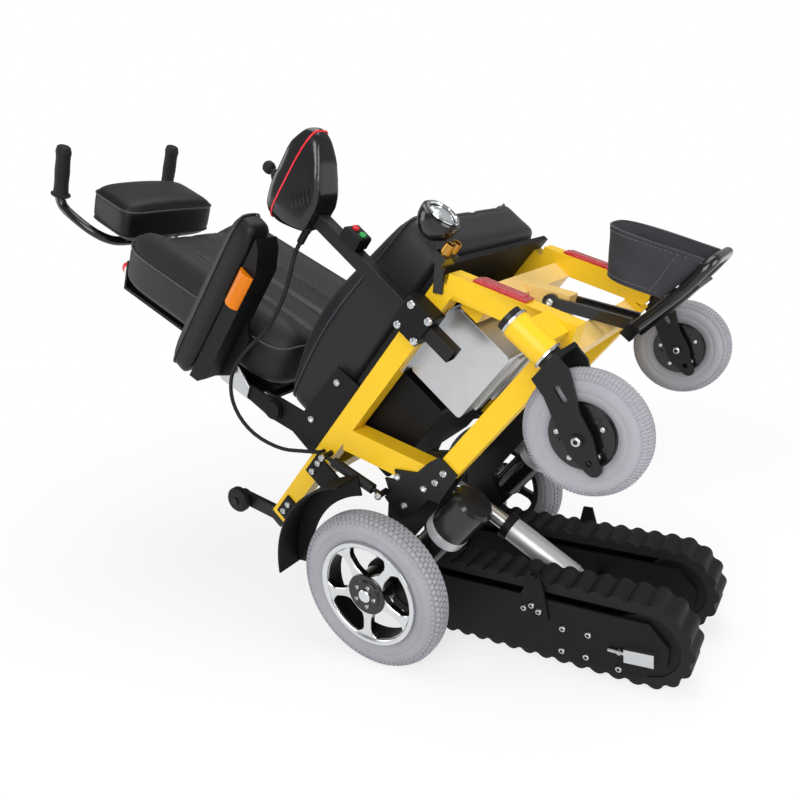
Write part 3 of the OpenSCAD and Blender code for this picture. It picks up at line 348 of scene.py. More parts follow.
            # Plain weave, with threads drawn about twice as wide as the real ones
            warp, weft = (add_node(tree, "ShaderNodeTexWave", {
                "bands_direction": way, "Scale": fine / math.pi, "Distortion": 0.4},
                Vector=place) for way in ("X", "Z"))
            return add_node(tree, "ShaderNodeMath", {"operation": "MULTIPLY"},
                            i0=(warp, "Fac"), i1=(weft, "Fac"))
        stretch = (1.0, 0.04, 1.0) if kind is Surface.BRUSHED else (1.0, 1.0, 1.0)
        turn = add_node(tree, "ShaderNodeMapping", {"Scale": stretch}, Vector=place)
        noise = add_node(tree, "ShaderNodeTexNoise", {
            "Scale": fine, "Detail": 3.0, "Roughness": 0.55}, Vector=(turn, "Vector"))
        return add_node(tree, "ShaderNodeMath", {"operation": "MULTIPLY", 1: 1.0},
                        i0=(noise, "Fac"))


# Mesh work


def link(name: str, data: Any) -> Obj:
    """Makes an object from its data and links it into the scene."""
    made = bpy.data.objects.new(name, data)
    bpy.context.scene.collection.objects.link(made)
    return made


def soften(mesh: bpy.types.Mesh, angle: float = SHARP) -> None:
    """Shades a mesh smoothly, apart from edges sharper than an angle in degrees."""
    mesh.polygons.foreach_set("use_smooth", [True] * len(mesh.polygons))
    mesh.set_sharp_from_angle(angle=math.radians(angle))


def angles(steps: int) -> list[float]:
    """Evenly spaced angles once round."""
    return [2 * math.pi * k / steps for k in range(steps)]


def quads(rows: int, columns: int, loop_rows: bool = False,
          loop_columns: bool = False) -> list[Face]:
    """Faces of a grid whose points are stored row by row.

    Args:
        rows: Rows of points.
        columns: Points in a row.
        loop_rows: Whether the last row joins the first.
        loop_columns: Whether each row joins its own start.

    Returns:
        The faces, four points each.
    """
    faces: list[Face] = []
    for i in range(rows if loop_rows else rows - 1):
        j = (i + 1) % rows
        for k in range(columns if loop_columns else columns - 1):
            m = (k + 1) % columns
            faces.append((i * columns + k, i * columns + m, j * columns + m, j * columns + k))
    return faces


def facing(direction: Vector, spin: float = 0.0) -> Euler:
    """Turn that brings z onto a direction, with a spin about it."""
    turn = direction.to_track_quat("Z", "Y").to_matrix()
    return (turn @ Matrix.Rotation(spin, 3, "Z")).to_euler()


def upright(along: Vector, up: Vector) -> Euler:
    """Turn that brings x onto one direction and z onto another, square to it."""
    return Matrix((along, up.cross(along), up)).transposed().to_euler()


def axis_at(place: Vector, direction: Vector) -> Matrix:
    """Axes at a place, with z along a direction."""
    return Matrix.Translation(place) @ direction.to_track_quat("Z", "Y").to_matrix().to_4x4()


class Bench:
    """Makes meshes and objects, and hands finished pieces to the frame."""

    def __init__(self, finishes: Finishes, nodes: dict[str, Obj]) -> None:
        """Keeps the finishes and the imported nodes."""
        self.finishes = finishes
        self.nodes = nodes

    def piece(self, name: str, verts: Sequence[Vector], faces: Sequence[Face], finish: Finish,
              smooth: float = SHARP) -> Obj:
        """Makes an object from points and faces, with its normals outwards.

        Args:
            name: Name of the object.
            verts: Points in metres.
            faces: Indices of each face's points.
            finish: Material of the whole piece.
            smooth: Edges sharper than this angle, in degrees, stay sharp.

        Returns:
            The object, linked into the scene.
        """
        mesh = bpy.data.meshes.new(name)
        mesh.from_pydata([tuple(v) for v in verts], [], [tuple(f) for f in faces])
        work = bmesh.new()
        work.from_mesh(mesh)
        bmesh.ops.remove_doubles(work, verts=work.verts, dist=1e-6)
        bmesh.ops.recalc_face_normals(work, faces=work.faces)
        work.to_mesh(mesh)
        work.free()
        return self.wrap(name, mesh, finish, smooth)

    def dress(self, mesh: bpy.types.Mesh, finish: Finish) -> None:
        """Gives a whole mesh one finish."""
        mesh.materials.clear()
        mesh.materials.append(self.finishes.get(finish))

    def wrap(self, name: str, mesh: bpy.types.Mesh, finish: Finish, smooth: float = SHARP) -> Obj:
        """Puts a mesh into an object with one finish and smooth shading."""
        self.dress(mesh, finish)
        soften(mesh, smooth)
        return link(name, mesh)

    def bake(self, made: Obj) -> Obj:
        """Turns an object's modifiers into plain mesh and removes them."""
        bpy.context.view_layer.update()
        graph = bpy.context.evaluated_depsgraph_get()
        mesh = bpy.data.meshes.new_from_object(made.evaluated_get(graph))
        made.modifiers.clear()
        made.data = mesh
        return made

    def place(self, made: Obj, body: str, finish: Finish, *replaced: str) -> Obj:
        """Rides a piece on a body and hides the nodes that it stands for."""
        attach(made, body)
        if replaced:
            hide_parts(*replaced)
        LOG.info("%s rides on %s, %d faces", made.name, body, len(made.data.polygons))
        return made

    def paint(self, node: str, finish: Finish) -> None:
        """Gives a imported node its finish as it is."""
        self.dress(self.nodes[node].data, finish)

    def rounded(self, node: str, body: str, finish: Finish, radius_mm: float,
                looks: Sequence[tuple[Finish, Rule]] = ()) -> Obj:
        """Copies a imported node, joins its faces and rounds its edges.

        Args:
            node: Node to copy and stand for.
            body: Body that it rides on.
            finish: Main finish.
            radius_mm: Width of the rounded edge, 0 to leave the edges.
            looks: Further finishes, each with a rule that says from a face's middle
                whether the face has that finish.

        Returns:
            The new piece.
        """
        work = bmesh.new()
        work.from_mesh(self.nodes[node].data)
        bmesh.ops.remove_doubles(work, verts=work.verts, dist=2e-6)
        bmesh.ops.dissolve_limit(work, angle_limit=math.radians(1.0), verts=work.verts,
                                 edges=work.edges)
        mesh = bpy.data.meshes.new(node + "_skin")
        work.to_mesh(mesh)
        work.free()
        made = self.wrap(node + "_skin", mesh, finish)
        if radius_mm > 0:
            bevel = made.modifiers.new("edge", "BEVEL")
            bevel.width, bevel.segments = radius_mm / MM, 2
            bevel.limit_method, bevel.angle_limit = "ANGLE", math.radians(SHARP)
            bevel.use_clamp_overlap, bevel.harden_normals = True, False
            self.bake(made)
            soften(made.data)
        # Wide faces keep their own direction, so that only the rounded edges shade softly
        weigh = made.modifiers.new("flats", "WEIGHTED_NORMAL")
        weigh.weight, weigh.keep_sharp = 90, True
        self.bake(made)
        for index, (other, rule) in enumerate(looks):
            made.data.materials.append(self.finishes.get(other))
            for poly in made.data.polygons:
                if rule(poly.center):
                    poly.material_index = index + 1
        return self.place(made, body, finish, node)

    def moulded(self, node: str, body: str, finish: Finish, grid_mm: float, rounds: int) -> Obj:
        """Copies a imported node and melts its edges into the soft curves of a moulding.

        Args:
            node: Node to copy and stand for.
            body: Body that it rides on.
            finish: Finish of the piece.
            grid_mm: Size of the new faces.
            rounds: How often the surface is smoothed.

        Returns:
            The new piece.
        """
        made = self.wrap(node + "_skin", self.nodes[node].data.copy(), finish)
        melt = made.modifiers.new("melt", "REMESH")
        melt.mode, melt.voxel_size, melt.use_smooth_shade = "VOXEL", grid_mm / MM, True
        soft = made.modifiers.new("soft", "SMOOTH")
        soft.factor, soft.iterations = 0.5, rounds
        self.bake(made)
        self.dress(made.data, finish)
        return self.place(made, body, finish, node)

    def scatter(self, name: str, template: Obj, spots: Sequence[Spot], finish: Finish) -> Obj:
        """Repeats a small shape at many spots with Geometry Nodes.

        Args:
            name: Name of the result.
            template: Shape to repeat; it is removed afterwards.
            spots: Place and turn of each copy.
            finish: Material of the copies.

        Returns:
            One object with a plain mesh.
        """
        mesh = bpy.data.meshes.new(name)
        mesh.from_pydata([tuple(p) for p, _ in spots], [], [])
        turn = mesh.attributes.new("turn", "FLOAT_VECTOR", "POINT")
        turn.data.foreach_set("vector", [c for _, e in spots for c in e])
        made = link(name, mesh)
        tree = bpy.data.node_groups.new(name + "_tree", "GeometryNodeTree")
        sockets = (("Geometry", "Geometry", "INPUT"), ("Shape", "Object", "INPUT"),
                   ("Finish", "Material", "INPUT"), ("Geometry", "Geometry", "OUTPUT"))
        for label, kind, way in sockets:
            tree.interface.new_socket(label, in_out=way, socket_type="NodeSocket" + kind)
        ends = add_node(tree, "NodeGroupInput")
        shape = add_node(tree, "GeometryNodeObjectInfo", {"transform_space": "ORIGINAL"},
                         Object=(ends, "Shape"))
        turns = add_node(tree, "GeometryNodeInputNamedAttribute",
                         {"data_type": "FLOAT_VECTOR", "Name": "turn"})
        euler = add_node(tree, "FunctionNodeEulerToRotation", None, Euler=(turns, "Attribute"))
        copies = add_node(tree, "GeometryNodeInstanceOnPoints", None, Points=(ends, "Geometry"),
                          Instance=(shape, "Geometry"), Rotation=(euler, "Rotation"))
        real = add_node(tree, "GeometryNodeRealizeInstances", None, Geometry=(copies, "Instances"))
        dressed = add_node(tree, "GeometryNodeSetMaterial", None, Geometry=(real, "Geometry"),
                           Material=(ends, "Finish"))
        add_node(tree, "NodeGroupOutput", None, Geometry=(dressed, "Geometry"))
        modifier = made.modifiers.new("repeat", "NODES")
        modifier.node_group = tree
        ids = {s.name: s.identifier for s in tree.interface.items_tree if s.in_out == "INPUT"}
        modifier[ids["Shape"]] = template
        modifier[ids["Finish"]] = self.finishes.get(finish)
        self.bake(made)
        soften(made.data)
        bpy.data.objects.remove(template)
        bpy.data.node_groups.remove(tree)
        return made

    def repeat(self, name: str, template: Obj, spots: Sequence[Spot], finish: Finish, body: str,
               *replaced: str) -> Obj:
        """Scatters a small shape and places the result on a body."""
        return self.place(self.scatter(name, template, spots, finish), body, finish, *replaced)

    def tube(self, name: str, points: Sequence[Vector], radius: float, finish: Finish,
             sides: int, closed: bool = False) -> Obj:
        """Sweeps a round tube along points.

        Args:
            name: Name of the object.
            points: Centreline in metres.
            radius: Radius in metres.
            finish: Material.
            sides: Sides of the section.
            closed: Whether the line runs back to its start.

        Returns:
            The object.
        """
        count = len(points)
        verts: list[Vector] = []
        normal = Vector((0.13, 0.31, 0.94))
        for i, point in enumerate(points):
            before = points[(i - 1) % count] if closed or i else points[0]
            after = points[(i + 1) % count] if closed or i < count - 1 else points[-1]
            along = (after - before).normalized()
            normal = (normal - along * normal.dot(along)).normalized()
            side = along.cross(normal)
            for a in angles(sides):
                verts.append(point + radius * (math.cos(a) * normal + math.sin(a) * side))
        faces = quads(count, sides, loop_rows=closed, loop_columns=True)
        if not closed:
            faces += [tuple(range(sides)), tuple(range((count - 1) * sides, count * sides))]
        return self.piece(name, verts, faces, finish, 50)

    def lathe(self, name: str, profile: Sequence[Pair], spot: Matrix, finish: Finish,
              steps: int) -> Obj:
        """Turns a closed profile of (radius, height) millimetres about the z of spot.

        Args:
            name: Name of the object.
            profile: Points of the section.
            spot: Where the axis lies, in metres.
            finish: Material.
            steps: Steps round the axis.

        Returns:
            The object.
        """
        verts = [spot @ (Vector((r * math.cos(a), r * math.sin(a), z)) / MM)
                 for a in angles(steps) for r, z in profile]
        faces = quads(steps, len(profile), loop_rows=True, loop_columns=True)
        return self.piece(name, verts, faces, finish, 32)

    def joined(self, name: str, parts: Sequence[Obj]) -> Obj:
        """Joins objects that ride on the same body into one mesh with their materials."""
        verts: list[Vector] = []
        faces: list[Face] = []
        slots: list[bpy.types.Material] = []
        picks: list[int] = []
        for part in parts:
            start = len(verts)
            verts += [v.co.copy() for v in part.data.vertices]
            look = []
            for mat in part.data.materials:
                if mat not in slots:
                    slots.append(mat)
                look.append(slots.index(mat))
            for poly in part.data.polygons:
                faces.append([start + i for i in poly.vertices])
                picks.append(look[poly.material_index] if look else 0)
        mesh = bpy.data.meshes.new(name)
        mesh.from_pydata([tuple(v) for v in verts], [], faces)
        for mat in slots:
            mesh.materials.append(mat)
        mesh.polygons.foreach_set("material_index", picks)
        soften(mesh)
        for part in parts:
            bpy.data.objects.remove(part)
        return link(name, mesh)

    def block(self, along: float, across: float, high: float, foot: float = -1.0) -> Obj:
        """Small block with tapered sides, such as a tread block, its foot near the origin."""
        corners = ((-1, -1), (1, -1), (1, 1), (-1, 1))
        verts = [Vector((sx * along * k / 2, sy * across * k / 2, z)) / MM
                 for z, k in ((foot, 1.0), (high * 0.75, 0.94), (high, 0.8)) for sx, sy in corners]
        faces = [(0, 3, 2, 1), (8, 9, 10, 11), *quads(3, 4, loop_columns=True)]
        return self.piece("block", verts, faces, Finishes.RUBBER, 30)

    def screw(self, radius_mm: float, height_mm: float) -> Obj:
        """A button head with a hexagon socket, its seat at the origin and its top along z."""
        sides = 12
        head = ((1.0, 0.0), (1.0, 0.45), (0.82, 0.85), (0.55, 1.0))
        socket = ((0.5, 1.0), (0.46, 0.3))
        verts: list[Vector] = []
        for r, z in head + socket:
            for a in angles(sides):
                # The middle of a flat lies nearer to the axis than the corners
                flat = math.cos(math.pi / 6) / math.cos(a % (math.pi / 3) - math.pi / 6)
                reach = radius_mm * r * (flat if (r, z) in socket else 1.0)
                verts.append(Vector((reach * math.cos(a), reach * math.sin(a), height_mm * z)) / MM)
        faces = quads(6, sides, loop_columns=True)
        faces += [tuple(range(5 * sides, 6 * sides)), tuple(reversed(range(sides)))]
        return self.piece("screw", verts, faces, Finishes.STEEL, 30)


def bump(t: float, width: float, height: float) -> float:
    """Smooth hump of a height, nothing outside its half width."""
    return 0.0 if abs(t) >= width else height * (1 + math.cos(math.pi * t / width)) / 2


def power(value: float, exponent: float) -> float:
    """Signed power."""
    return math.copysign(abs(value) ** exponent, value)


def chaikin(points: Sequence[Triple], rounds: int = 2) -> list[Vector]:
    """Cuts the corners of an open path into curves.

    Args:
        points: Corners.
        rounds: How often corners are cut.

    Returns:
        The points of the curve.
    """
    path = [Vector(p) for p in points]
    for _ in range(rounds):
        cut = [path[0]]
        for a, b in zip(path, path[1:]):
            cut += [a * 0.75 + b * 0.25, a * 0.25 + b * 0.75]
        path = [*cut, path[-1]]
    return path


# Upholstery


def quarter(exponent: float, wide: float, high: float, count: int) -> list[Pair]:
    """Evenly spaced points of a quarter of a rounded oblong, as shares of its half sizes.

    Args:
        exponent: 1 for an ellipse, towards 0 for a rectangle.
        wide: Half size across.
        high: Half size up.
        count: Steps from (1, 0) to (0, 1).

    Returns:
        The points, count + 1 of them.
    """
    n, fine = 2 / exponent, 300
    raw = [(max(0.0, 1 - (i / fine) ** n) ** (1 / n), i / fine) for i in range(fine + 1)]
    raw = sorted(raw + [(b, a) for a, b in raw], key=lambda p: p[1] - p[0])
    runs = [0.0]
    for a, b in zip(raw, raw[1:]):
        runs.append(runs[-1] + math.hypot((b[0] - a[0]) * wide, (b[1] - a[1]) * high))
    out: list[Pair] = []
    j = 0
    for i in range(count + 1):
        want = runs[-1] * i / count
        while j < len(runs) - 2 and runs[j + 1] < want:
            j += 1
        t = (want - runs[j]) / max(runs[j + 1] - runs[j], 1e-9)
        (a0, b0), (a1, b1) = raw[j], raw[j + 1]
        out.append((a0 + (a1 - a0) * t, b0 + (b1 - b0) * t))
    return out


@dataclass
class Pad:
    """A padded block in the form of its solid, with seams, sewn channels and stitches.

    The half sizes are millimetres. On the crowned side, ridges are (y, half width,
    height), humps are (x, half length, y, half width, height) and channels are
    (y, depth) of lines sewn along x.
    """

    name: str
    node: str
    body: str
    half: Triple
    plan: float
    section: float
    spot: Callable[[float, float, float], Vector]
    finish: Finish
    ridges: Sequence[Triple] = ()
    humps: Sequence[tuple[float, float, float, float, float]] = ()
    channels: Sequence[Pair] = ()
    seams: Sequence[float] = ()
    panel: float = 0.0
    fill: float = 0.8
    steps: tuple[int, int] = (48, 34)

    CHANNEL = 15.0  # half width of a sewn channel
    PUCKER_OFF, PUCKER_W, PUCKER_H = 14.0, 12.0, 0.7  # folds beside a channel
    STITCH, STITCH_OFF = 8.0, 5.0  # pitch of the stitches and their distance from the channel
    PIPING_R = 0.0022

    def crown(self, x: float, y: float) -> float:
        """Extra height of the crowned side at a place, with puckers beside each channel."""
        total = sum(bump(y - r[0], r[1], r[2]) for r in self.ridges)
        total += sum(bump(x - h[0], h[1], 1.0) * bump(y - h[2], h[3], h[4]) for h in self.humps)
        for line, depth in self.channels:
            fold = bump(abs(y - line) - self.PUCKER_OFF, self.PUCKER_W, self.PUCKER_H)
            total -= bump(y - line, self.CHANNEL, depth)
            total += fold * math.sin(x / 5.2 + 0.6 * math.sin(x / 31))
        return total

    def local(self, turn: Pair, rise: Pair, grow: float = 0.0) -> Triple:
        """Point of the pad at a place round its plan and up its section, in its own millimetres."""
        x = (self.half[0] + grow) * rise[0] * turn[0]
        y = (self.half[1] + grow) * rise[0] * turn[1]
        z = (self.half[2] + grow) * rise[1]
        return x, y, z + self.crown(x, y) * max(0.0, rise[1])

    def top(self, x: float, y: float) -> Vector:
        """Point of the crowned side above a place, in metres."""
        n = 2 / self.plan
        share = (abs(x / self.half[0]) ** n + abs(y / self.half[1]) ** n) ** (self.plan / 2)
        rise = max(0.0, 1 - min(1.0, share) ** (2 / self.section)) ** (self.section / 2)
        return self.spot(x, y, (self.half[2] + self.crown(x, y)) * rise)

    def round(self) -> list[Pair]:
        """Points once round the plan, as shares of the half sizes."""
        full = quarter(self.plan, self.half[0], self.half[1], self.steps[0])
        one, two = full[:-1], [(a, b) for b, a in reversed(full[1:])]
        return (one + [(-b, a) for a, b in two] + [(-a, -b) for a, b in one]
                + [(b, -a) for a, b in two])

    def surface(self) -> tuple[list[Vector], list[Face], list[bool]]:
        """Points and faces of the closed pad, and which faces are of the middle panel."""
        turns = self.round()
        q = quarter(self.section, self.half[1], self.half[2], self.steps[1])
        rises = [(a, -b) for a, b in reversed(q[:-1])] + q[1:-1]
        na = len(turns)
        verts: list[Vector] = []
        middle: list[bool] = []
        for rise in rises:
            # Sides draw in a little between the seams
            pull = 1 - 0.012 * (1 - rise[1] ** 2)
            for turn in turns:
                x, y, z = self.local(turn, rise)
                verts.append(self.spot(x * pull, y * pull, z))
                middle.append(rise[1] > 0.6 and abs(y) < self.panel)
        low, top = len(verts), len(verts) + 1
        verts += [self.spot(0, 0, -self.half[2]), self.spot(0, 0, self.half[2] + self.crown(0, 0))]
        middle += [False, self.panel > 0]
        faces = quads(len(rises), na, loop_columns=True)
        last = (len(rises) - 1) * na
        for i in range(na):
            m = (i + 1) % na
            faces += [(m, i, low), (last + i, last + m, top)]
        return verts, faces, [all(middle[i] for i in f) for f in faces]

    def stitches(self) -> list[Spot]:
        """Places of the stitches on both sides of each channel."""
        spots: list[Spot] = []
        reach = self.half[0] * 0.9
        lift = self.spot(0, 0, 1) - self.spot(0, 0, 0)
        for line, _ in self.channels:
            for y in (line - self.STITCH_OFF, line + self.STITCH_OFF):
                for i in range(int(2 * reach / self.STITCH)):
                    x = -reach + self.STITCH * i
                    here = self.top(x, y)
                    along = (self.top(x + 2, y) - here).normalized()
                    up = along.cross(self.top(x, y + 2) - here).normalized()
                    spots.append((here, upright(along, up if up.dot(lift) >= 0 else -up)))
        return spots

    def build(self, bench: Bench) -> Obj:
        """Makes the pad, its piping and its stitches.

        Args:
            bench: Where meshes are made.

        Returns:
            The pad.
        """
        verts, faces, middle = self.surface()
        pad = bench.piece(self.name, verts, faces, self.finish, 60)
        if self.panel > 0:
            pad.data.materials.append(bench.finishes.get(Finishes.PANEL))
            pad.data.polygons.foreach_set("material_index", [int(m) for m in middle])
        bench.place(pad, self.body, self.finish, self.node)
        for index, b in enumerate(self.seams):
            rise = (power(math.cos(b), self.section), power(math.sin(b), self.section))
            line = [self.spot(*self.local(turn, rise, 0.4)) for turn in self.round()]
            cord = bench.tube(f"{self.name}_piping_{index}", line, self.PIPING_R, Finishes.PIPING,
                              6, closed=True)
            bench.place(cord, self.body, Finishes.PIPING)
        if self.channels:
            bench.repeat(f"{self.name}_stitches", bench.block(5.0, 1.3, 0.9, -0.6), self.stitches(),
                         Finishes.THREAD, self.body)
        return pad


@dataclass
class Upholstery:
    """Seat, back, headrest and arm pads."""

    bench: Bench

    def seat(self) -> None:
        """Seat cushion between its two side bolsters."""
        middle, foot, half_t = 327.5, 298.3, 49.0
        bolster, bolster_w, hump_at = 182, 66, (-36, 290)
        Pad("seat_pad", "seat_cushion", "frame", (252.5, 208, half_t), plan=0.22, section=0.32,
            spot=lambda x, y, z: STANCE.chair(middle + x, y, foot + half_t + z),
            finish=Finishes.LEATHER,
            ridges=((-bolster, bolster_w, 22), (bolster, bolster_w, 22), (0, 16, -5)),
            humps=tuple((*hump_at, q * bolster, bolster_w, 44) for q in (-1, 1)),
            channels=((-112, 5), (112, 5)), seams=(0.35,), panel=112).build(self.bench)

    def back(self) -> None:
        """Back cushion with its bolsters."""
        front, middle, half_t = 10, 284, 60.0
        Pad("back_pad", "back_cushion", "backrest", (269, 210, half_t), plan=0.24, section=0.4,
            spot=lambda x, y, z: STANCE.back(front + half_t + z, y, middle - x),
            finish=Finishes.LEATHER, ridges=((-154, 70, 30), (154, 70, 30), (0, 14, -5)),
            channels=((-86, 4), (86, 4)), seams=(0.3,), panel=86).build(self.bench)

    def headrest(self) -> None:
        """Headrest pad, filled level with its raised ends."""
        front, middle, half_t = 60, 690, 54
        Pad("headrest_cushion", "headrest_pad", "headrest", (75, 140, half_t), plan=0.3,
            section=0.46, spot=lambda x, y, z: STANCE.back(front + half_t + z, y, middle - x),
            finish=Finishes.LEATHER_BLACK, ridges=((0, 170, 6),), seams=(0.3, -0.35),
            steps=(30, 24)).build(self.bench)

    def arms(self) -> None:
        """Arm pads, the right one level and the left one turned up."""
        hinge_u, hinge_v, ahead, above, half_w, inner = 36, 573, 149, 50.6, 32, 228.8
        turns = {"right": 0.0, "left": math.radians(95)}
        for side, sign in SIDES:
            def spot(x: float, y: float, z: float, side: str = side, sign: int = sign) -> Vector:
                """Point on the arm pad from its own middle."""
                u, v = ahead + x, above + z
                c, s = math.cos(turns[side]), math.sin(turns[side])
                return STANCE.chair(hinge_u + u * c - v * s, sign * (inner + half_w + y),
                                    hinge_v + u * s + v * c)

            Pad(f"arm_pad_{side}", f"armrest_pad_{side}", f"arm_{side}", (200, half_w, 33),
                plan=0.3, section=0.5, spot=spot, finish=Finishes.LEATHER_BLACK,
                ridges=((0, 30, 4),), seams=(0.2,), steps=(32, 12)).build(self.bench)

    def build(self) -> None:
        """Makes all pads."""
        self.seat()
        self.back()
        self.headrest()
        self.arms()


# Wheels


@dataclass(frozen=True)
class Tread:
    """Blocks of one size round a tyre.

    The size is along, across and high. A row is the radius of its foot, its offset
    across, its lean in degrees and its phase.
    """

    size: Triple
    rows: Sequence[tuple[float, float, float, float]]


@dataclass(frozen=True)
class Tyre:
    """The tyres of one kind of wheel, with half of their section as (radius, offset)."""

    kind: str
    body: str
    axle: Triple
    half: Sequence[Pair]
    treads: Sequence[Tread]
    count: int

    def centre(self, sign: int) -> Vector:
        """Middle of the wheel on one side, in metres."""
        return STANCE.chair(self.axle[0], sign * self.axle[1], self.axle[2])

    def spot(self, sign: int) -> Matrix:
        """Axes at the middle of the wheel, with z outwards."""
        turn = Matrix.Rotation(math.radians(-90 * sign), 4, "X")
        return Matrix.Translation(self.centre(sign)) @ turn


REAR = Tyre(
    "rear", "rear_wheel", (0, 280, 0),
    ((109, -20.5), (112, -23), (117, -25.5), (123, -27.5), (126, -28.3), (128, -27.3), (130, -28.4),
     (139, -27.9), (146, -24.1), (151, -20.5), (154.4, -15.5), (156.6, -10), (157.2, -4)),
    (Tread((9.6, 8.4, 2.5), ((157.3, -9.2, -6, 0.0), (157.5, 0, 0, 0.5), (157.3, 9.2, 6, 0.0))),
     Tread((8.0, 8.0, 2.6), ((154.0, -17.2, -32, 0.5), (154.0, 17.2, 32, 0.5))),
     Tread((5.4, 7.0, 1.8), ((147.6, -23.6, -58, 0.0), (147.6, 23.6, 58, 0.0)))), 88)
CASTOR = Tyre(
    "castor", "castor", (566, 285, -63),
    ((52, -17), (56, -20.6), (61, -23.4), (65, -24.4), (67, -23.7), (69, -24.8), (78, -24.7),
     (86, -19.8), (91, -16), (94.2, -10.5), (95.4, -7), (95.7, -4.6), (93.8, -4.1), (93.8, -3.1),
     (95.9, -2.6)),
    (Tread((3.6, 11.0, 1.3), ((94.0, -10.6, -22, 0.0), (94.0, 10.6, 22, 0.5))),
     Tread((2.6, 9.0, 1.2), ((88.4, -18.4, -48, 0.0), (88.4, 18.4, 48, 0.5)))), 104)


@dataclass
class Wheels:
    """Rear wheels with their rims, and castors with their forks."""

    bench: Bench

    SPOKES = 5
    ROUND = 128  # steps round a tyre
    # Radii of a spoke's foot, waist and head, and its half widths
    FOOT, WAIST_IN, WAIST_OUT, HEAD = 34, 62, 76, 99
    WAIST, FOOT_FLARE, HEAD_FLARE = 8.6, 14, 17
    # Heights of a spoke's face, of the edge of its chamfer and of its rear
    FACE, EDGE, REAR_FACE, CHAMFER = 24.5, 23.2, 10.5, 1.4
    TURNED = (
        ("lip", Finishes.RIM, 96, ((96, 20.5), (109, 20.5), (108.4, 26), (107, 27.8), (104, 28.5),
                                   (100.4, 28.3), (98, 26.6), (96.4, 24))),
        ("barrel", Finishes.PLASTIC, 96, ((96, -18.5), (109, -20.5), (109, 20.4), (96, 20.4))),
        ("hub", Finishes.HUB_BLACK, 64, ((10.05, -18.5), (38, -18.5), (38, 24.6), (42, 24.6),
                                         (42, 26), (40.6, 27), (31, 27), (30, 29.6), (29, 30.4),
                                         (0.5, 30.4), (0.5, 25.6), (10.05, 25.4))),
        ("cap", Finishes.RIM, 48, ((0.5, 30.2), (13, 30.2), (13, 33.4), (11.8, 34.4), (0.5, 34.5))),
    )

    def ring(self, centre: Vector, tread: Tread, count: int) -> list[Spot]:
        """Spots of tread blocks round a wheel.

        Args:
            centre: Middle of the wheel in metres.
            tread: The blocks and their rows.
            count: Blocks in a row.

        Returns:
            Place and turn of each block.
        """
        spots: list[Spot] = []
        axis = Vector((0, 1, 0))
        for radius, across, lean, phase in tread.rows:
            tilt = math.radians(lean)
            for i in range(count):
                a = 2 * math.pi * (i + phase) / count
                out = Vector((math.cos(a), 0, math.sin(a)))
                tangent = Vector((-math.sin(a), 0, math.cos(a)))
                up = out * math.cos(tilt) + axis * math.sin(tilt)
                spots.append((centre + (out * radius + axis * across) / MM, upright(tangent, up)))
        return spots

    def tyre(self, kind: Tyre, side: str, sign: int) -> None:
        """One tyre with its tread."""
        b = self.bench
        section = [*kind.half, *((r, -z) for r, z in reversed(kind.half))]
        parts = [b.lathe("carcass", section, kind.spot(sign), Finishes.TYRE, self.ROUND)]
        for tread in kind.treads:
            spots = self.ring(kind.centre(sign), tread, kind.count)
            parts.append(b.scatter("tread", b.block(*tread.size), spots, Finishes.TYRE))
        made = b.joined(f"{kind.kind}_tyre_tread_{side}", parts)
        b.place(made, f"{kind.body}_{side}", Finishes.TYRE, f"{kind.kind}_tyre_{side}")

    def spoke(self, spot: Matrix, angle: float) -> list[Obj]:
        """One spoke of the rim, narrow in the middle, with a machined face on black walls.

        Args:
            spot: Middle of the wheel, with z outwards.
            angle: Where the spoke points.

        Returns:
            The face and the walls.
        """
        face: list[Vector] = []
        wall: list[Vector] = []
        steps = 26
        for i in range(steps + 1):
            r = self.FOOT + (self.HEAD - self.FOOT) * i / steps
            out = max(0.0, (r - self.WAIST_OUT) / (self.HEAD - self.WAIST_OUT))
            inward = max(0.0, (self.WAIST_IN - r) / (self.WAIST_IN - self.FOOT))
            w = self.WAIST + self.HEAD_FLARE * out**2 + self.FOOT_FLARE * inward**2
            top = ((-w, self.EDGE), (self.CHAMFER - w, self.FACE), (w - self.CHAMFER, self.FACE),
                   (w, self.EDGE))
            below = ((w, self.EDGE), (w, self.REAR_FACE), (-w, self.REAR_FACE), (-w, self.EDGE))
            for store, line in ((face, top), (wall, below)):
                for t, z in line:
                    a = angle + t / r
                    store.append(spot @ (Vector((r * math.cos(a), r * math.sin(a), z)) / MM))
        faces = quads(steps + 1, 4)
        ends = [(0, 1, 2, 3), tuple(4 * steps + k for k in range(4))]
        return [self.bench.piece("spoke_face", face, faces, Finishes.RIM, 25),
                self.bench.piece("spoke_wall", wall, faces + ends, Finishes.HUB_BLACK, 25)]

    def rim(self, side: str, sign: int) -> None:
        """One rear rim: machined lip and spokes, black barrel and hub, bright cap."""
        b, spot = self.bench, REAR.spot(sign)
        parts = [b.lathe(name, line, spot, finish, steps)
                 for name, finish, steps, line in self.TURNED]
        for a in angles(self.SPOKES):
            parts += self.spoke(spot, a - sign * STANCE.pitch)
        made = b.joined(f"rear_rim_star_{side}", parts)
        b.place(made, f"rear_wheel_{side}", Finishes.RIM, f"rear_rim_{side}")

    def bolts(self, centre: Vector, q: int, radius: float, out: float, phase: float) -> list[Spot]:
        """Spots of a ring of screws on the side q of a wheel, in millimetres from its middle."""
        spots: list[Spot] = []
        for i in range(self.SPOKES):
            a = 2 * math.pi * (i + phase) / self.SPOKES - STANCE.pitch
            away = Vector((radius * math.cos(a), q * out, radius * math.sin(a))) / MM
            spots.append((centre + away, facing(Vector((0, q, 0)))))
        return spots

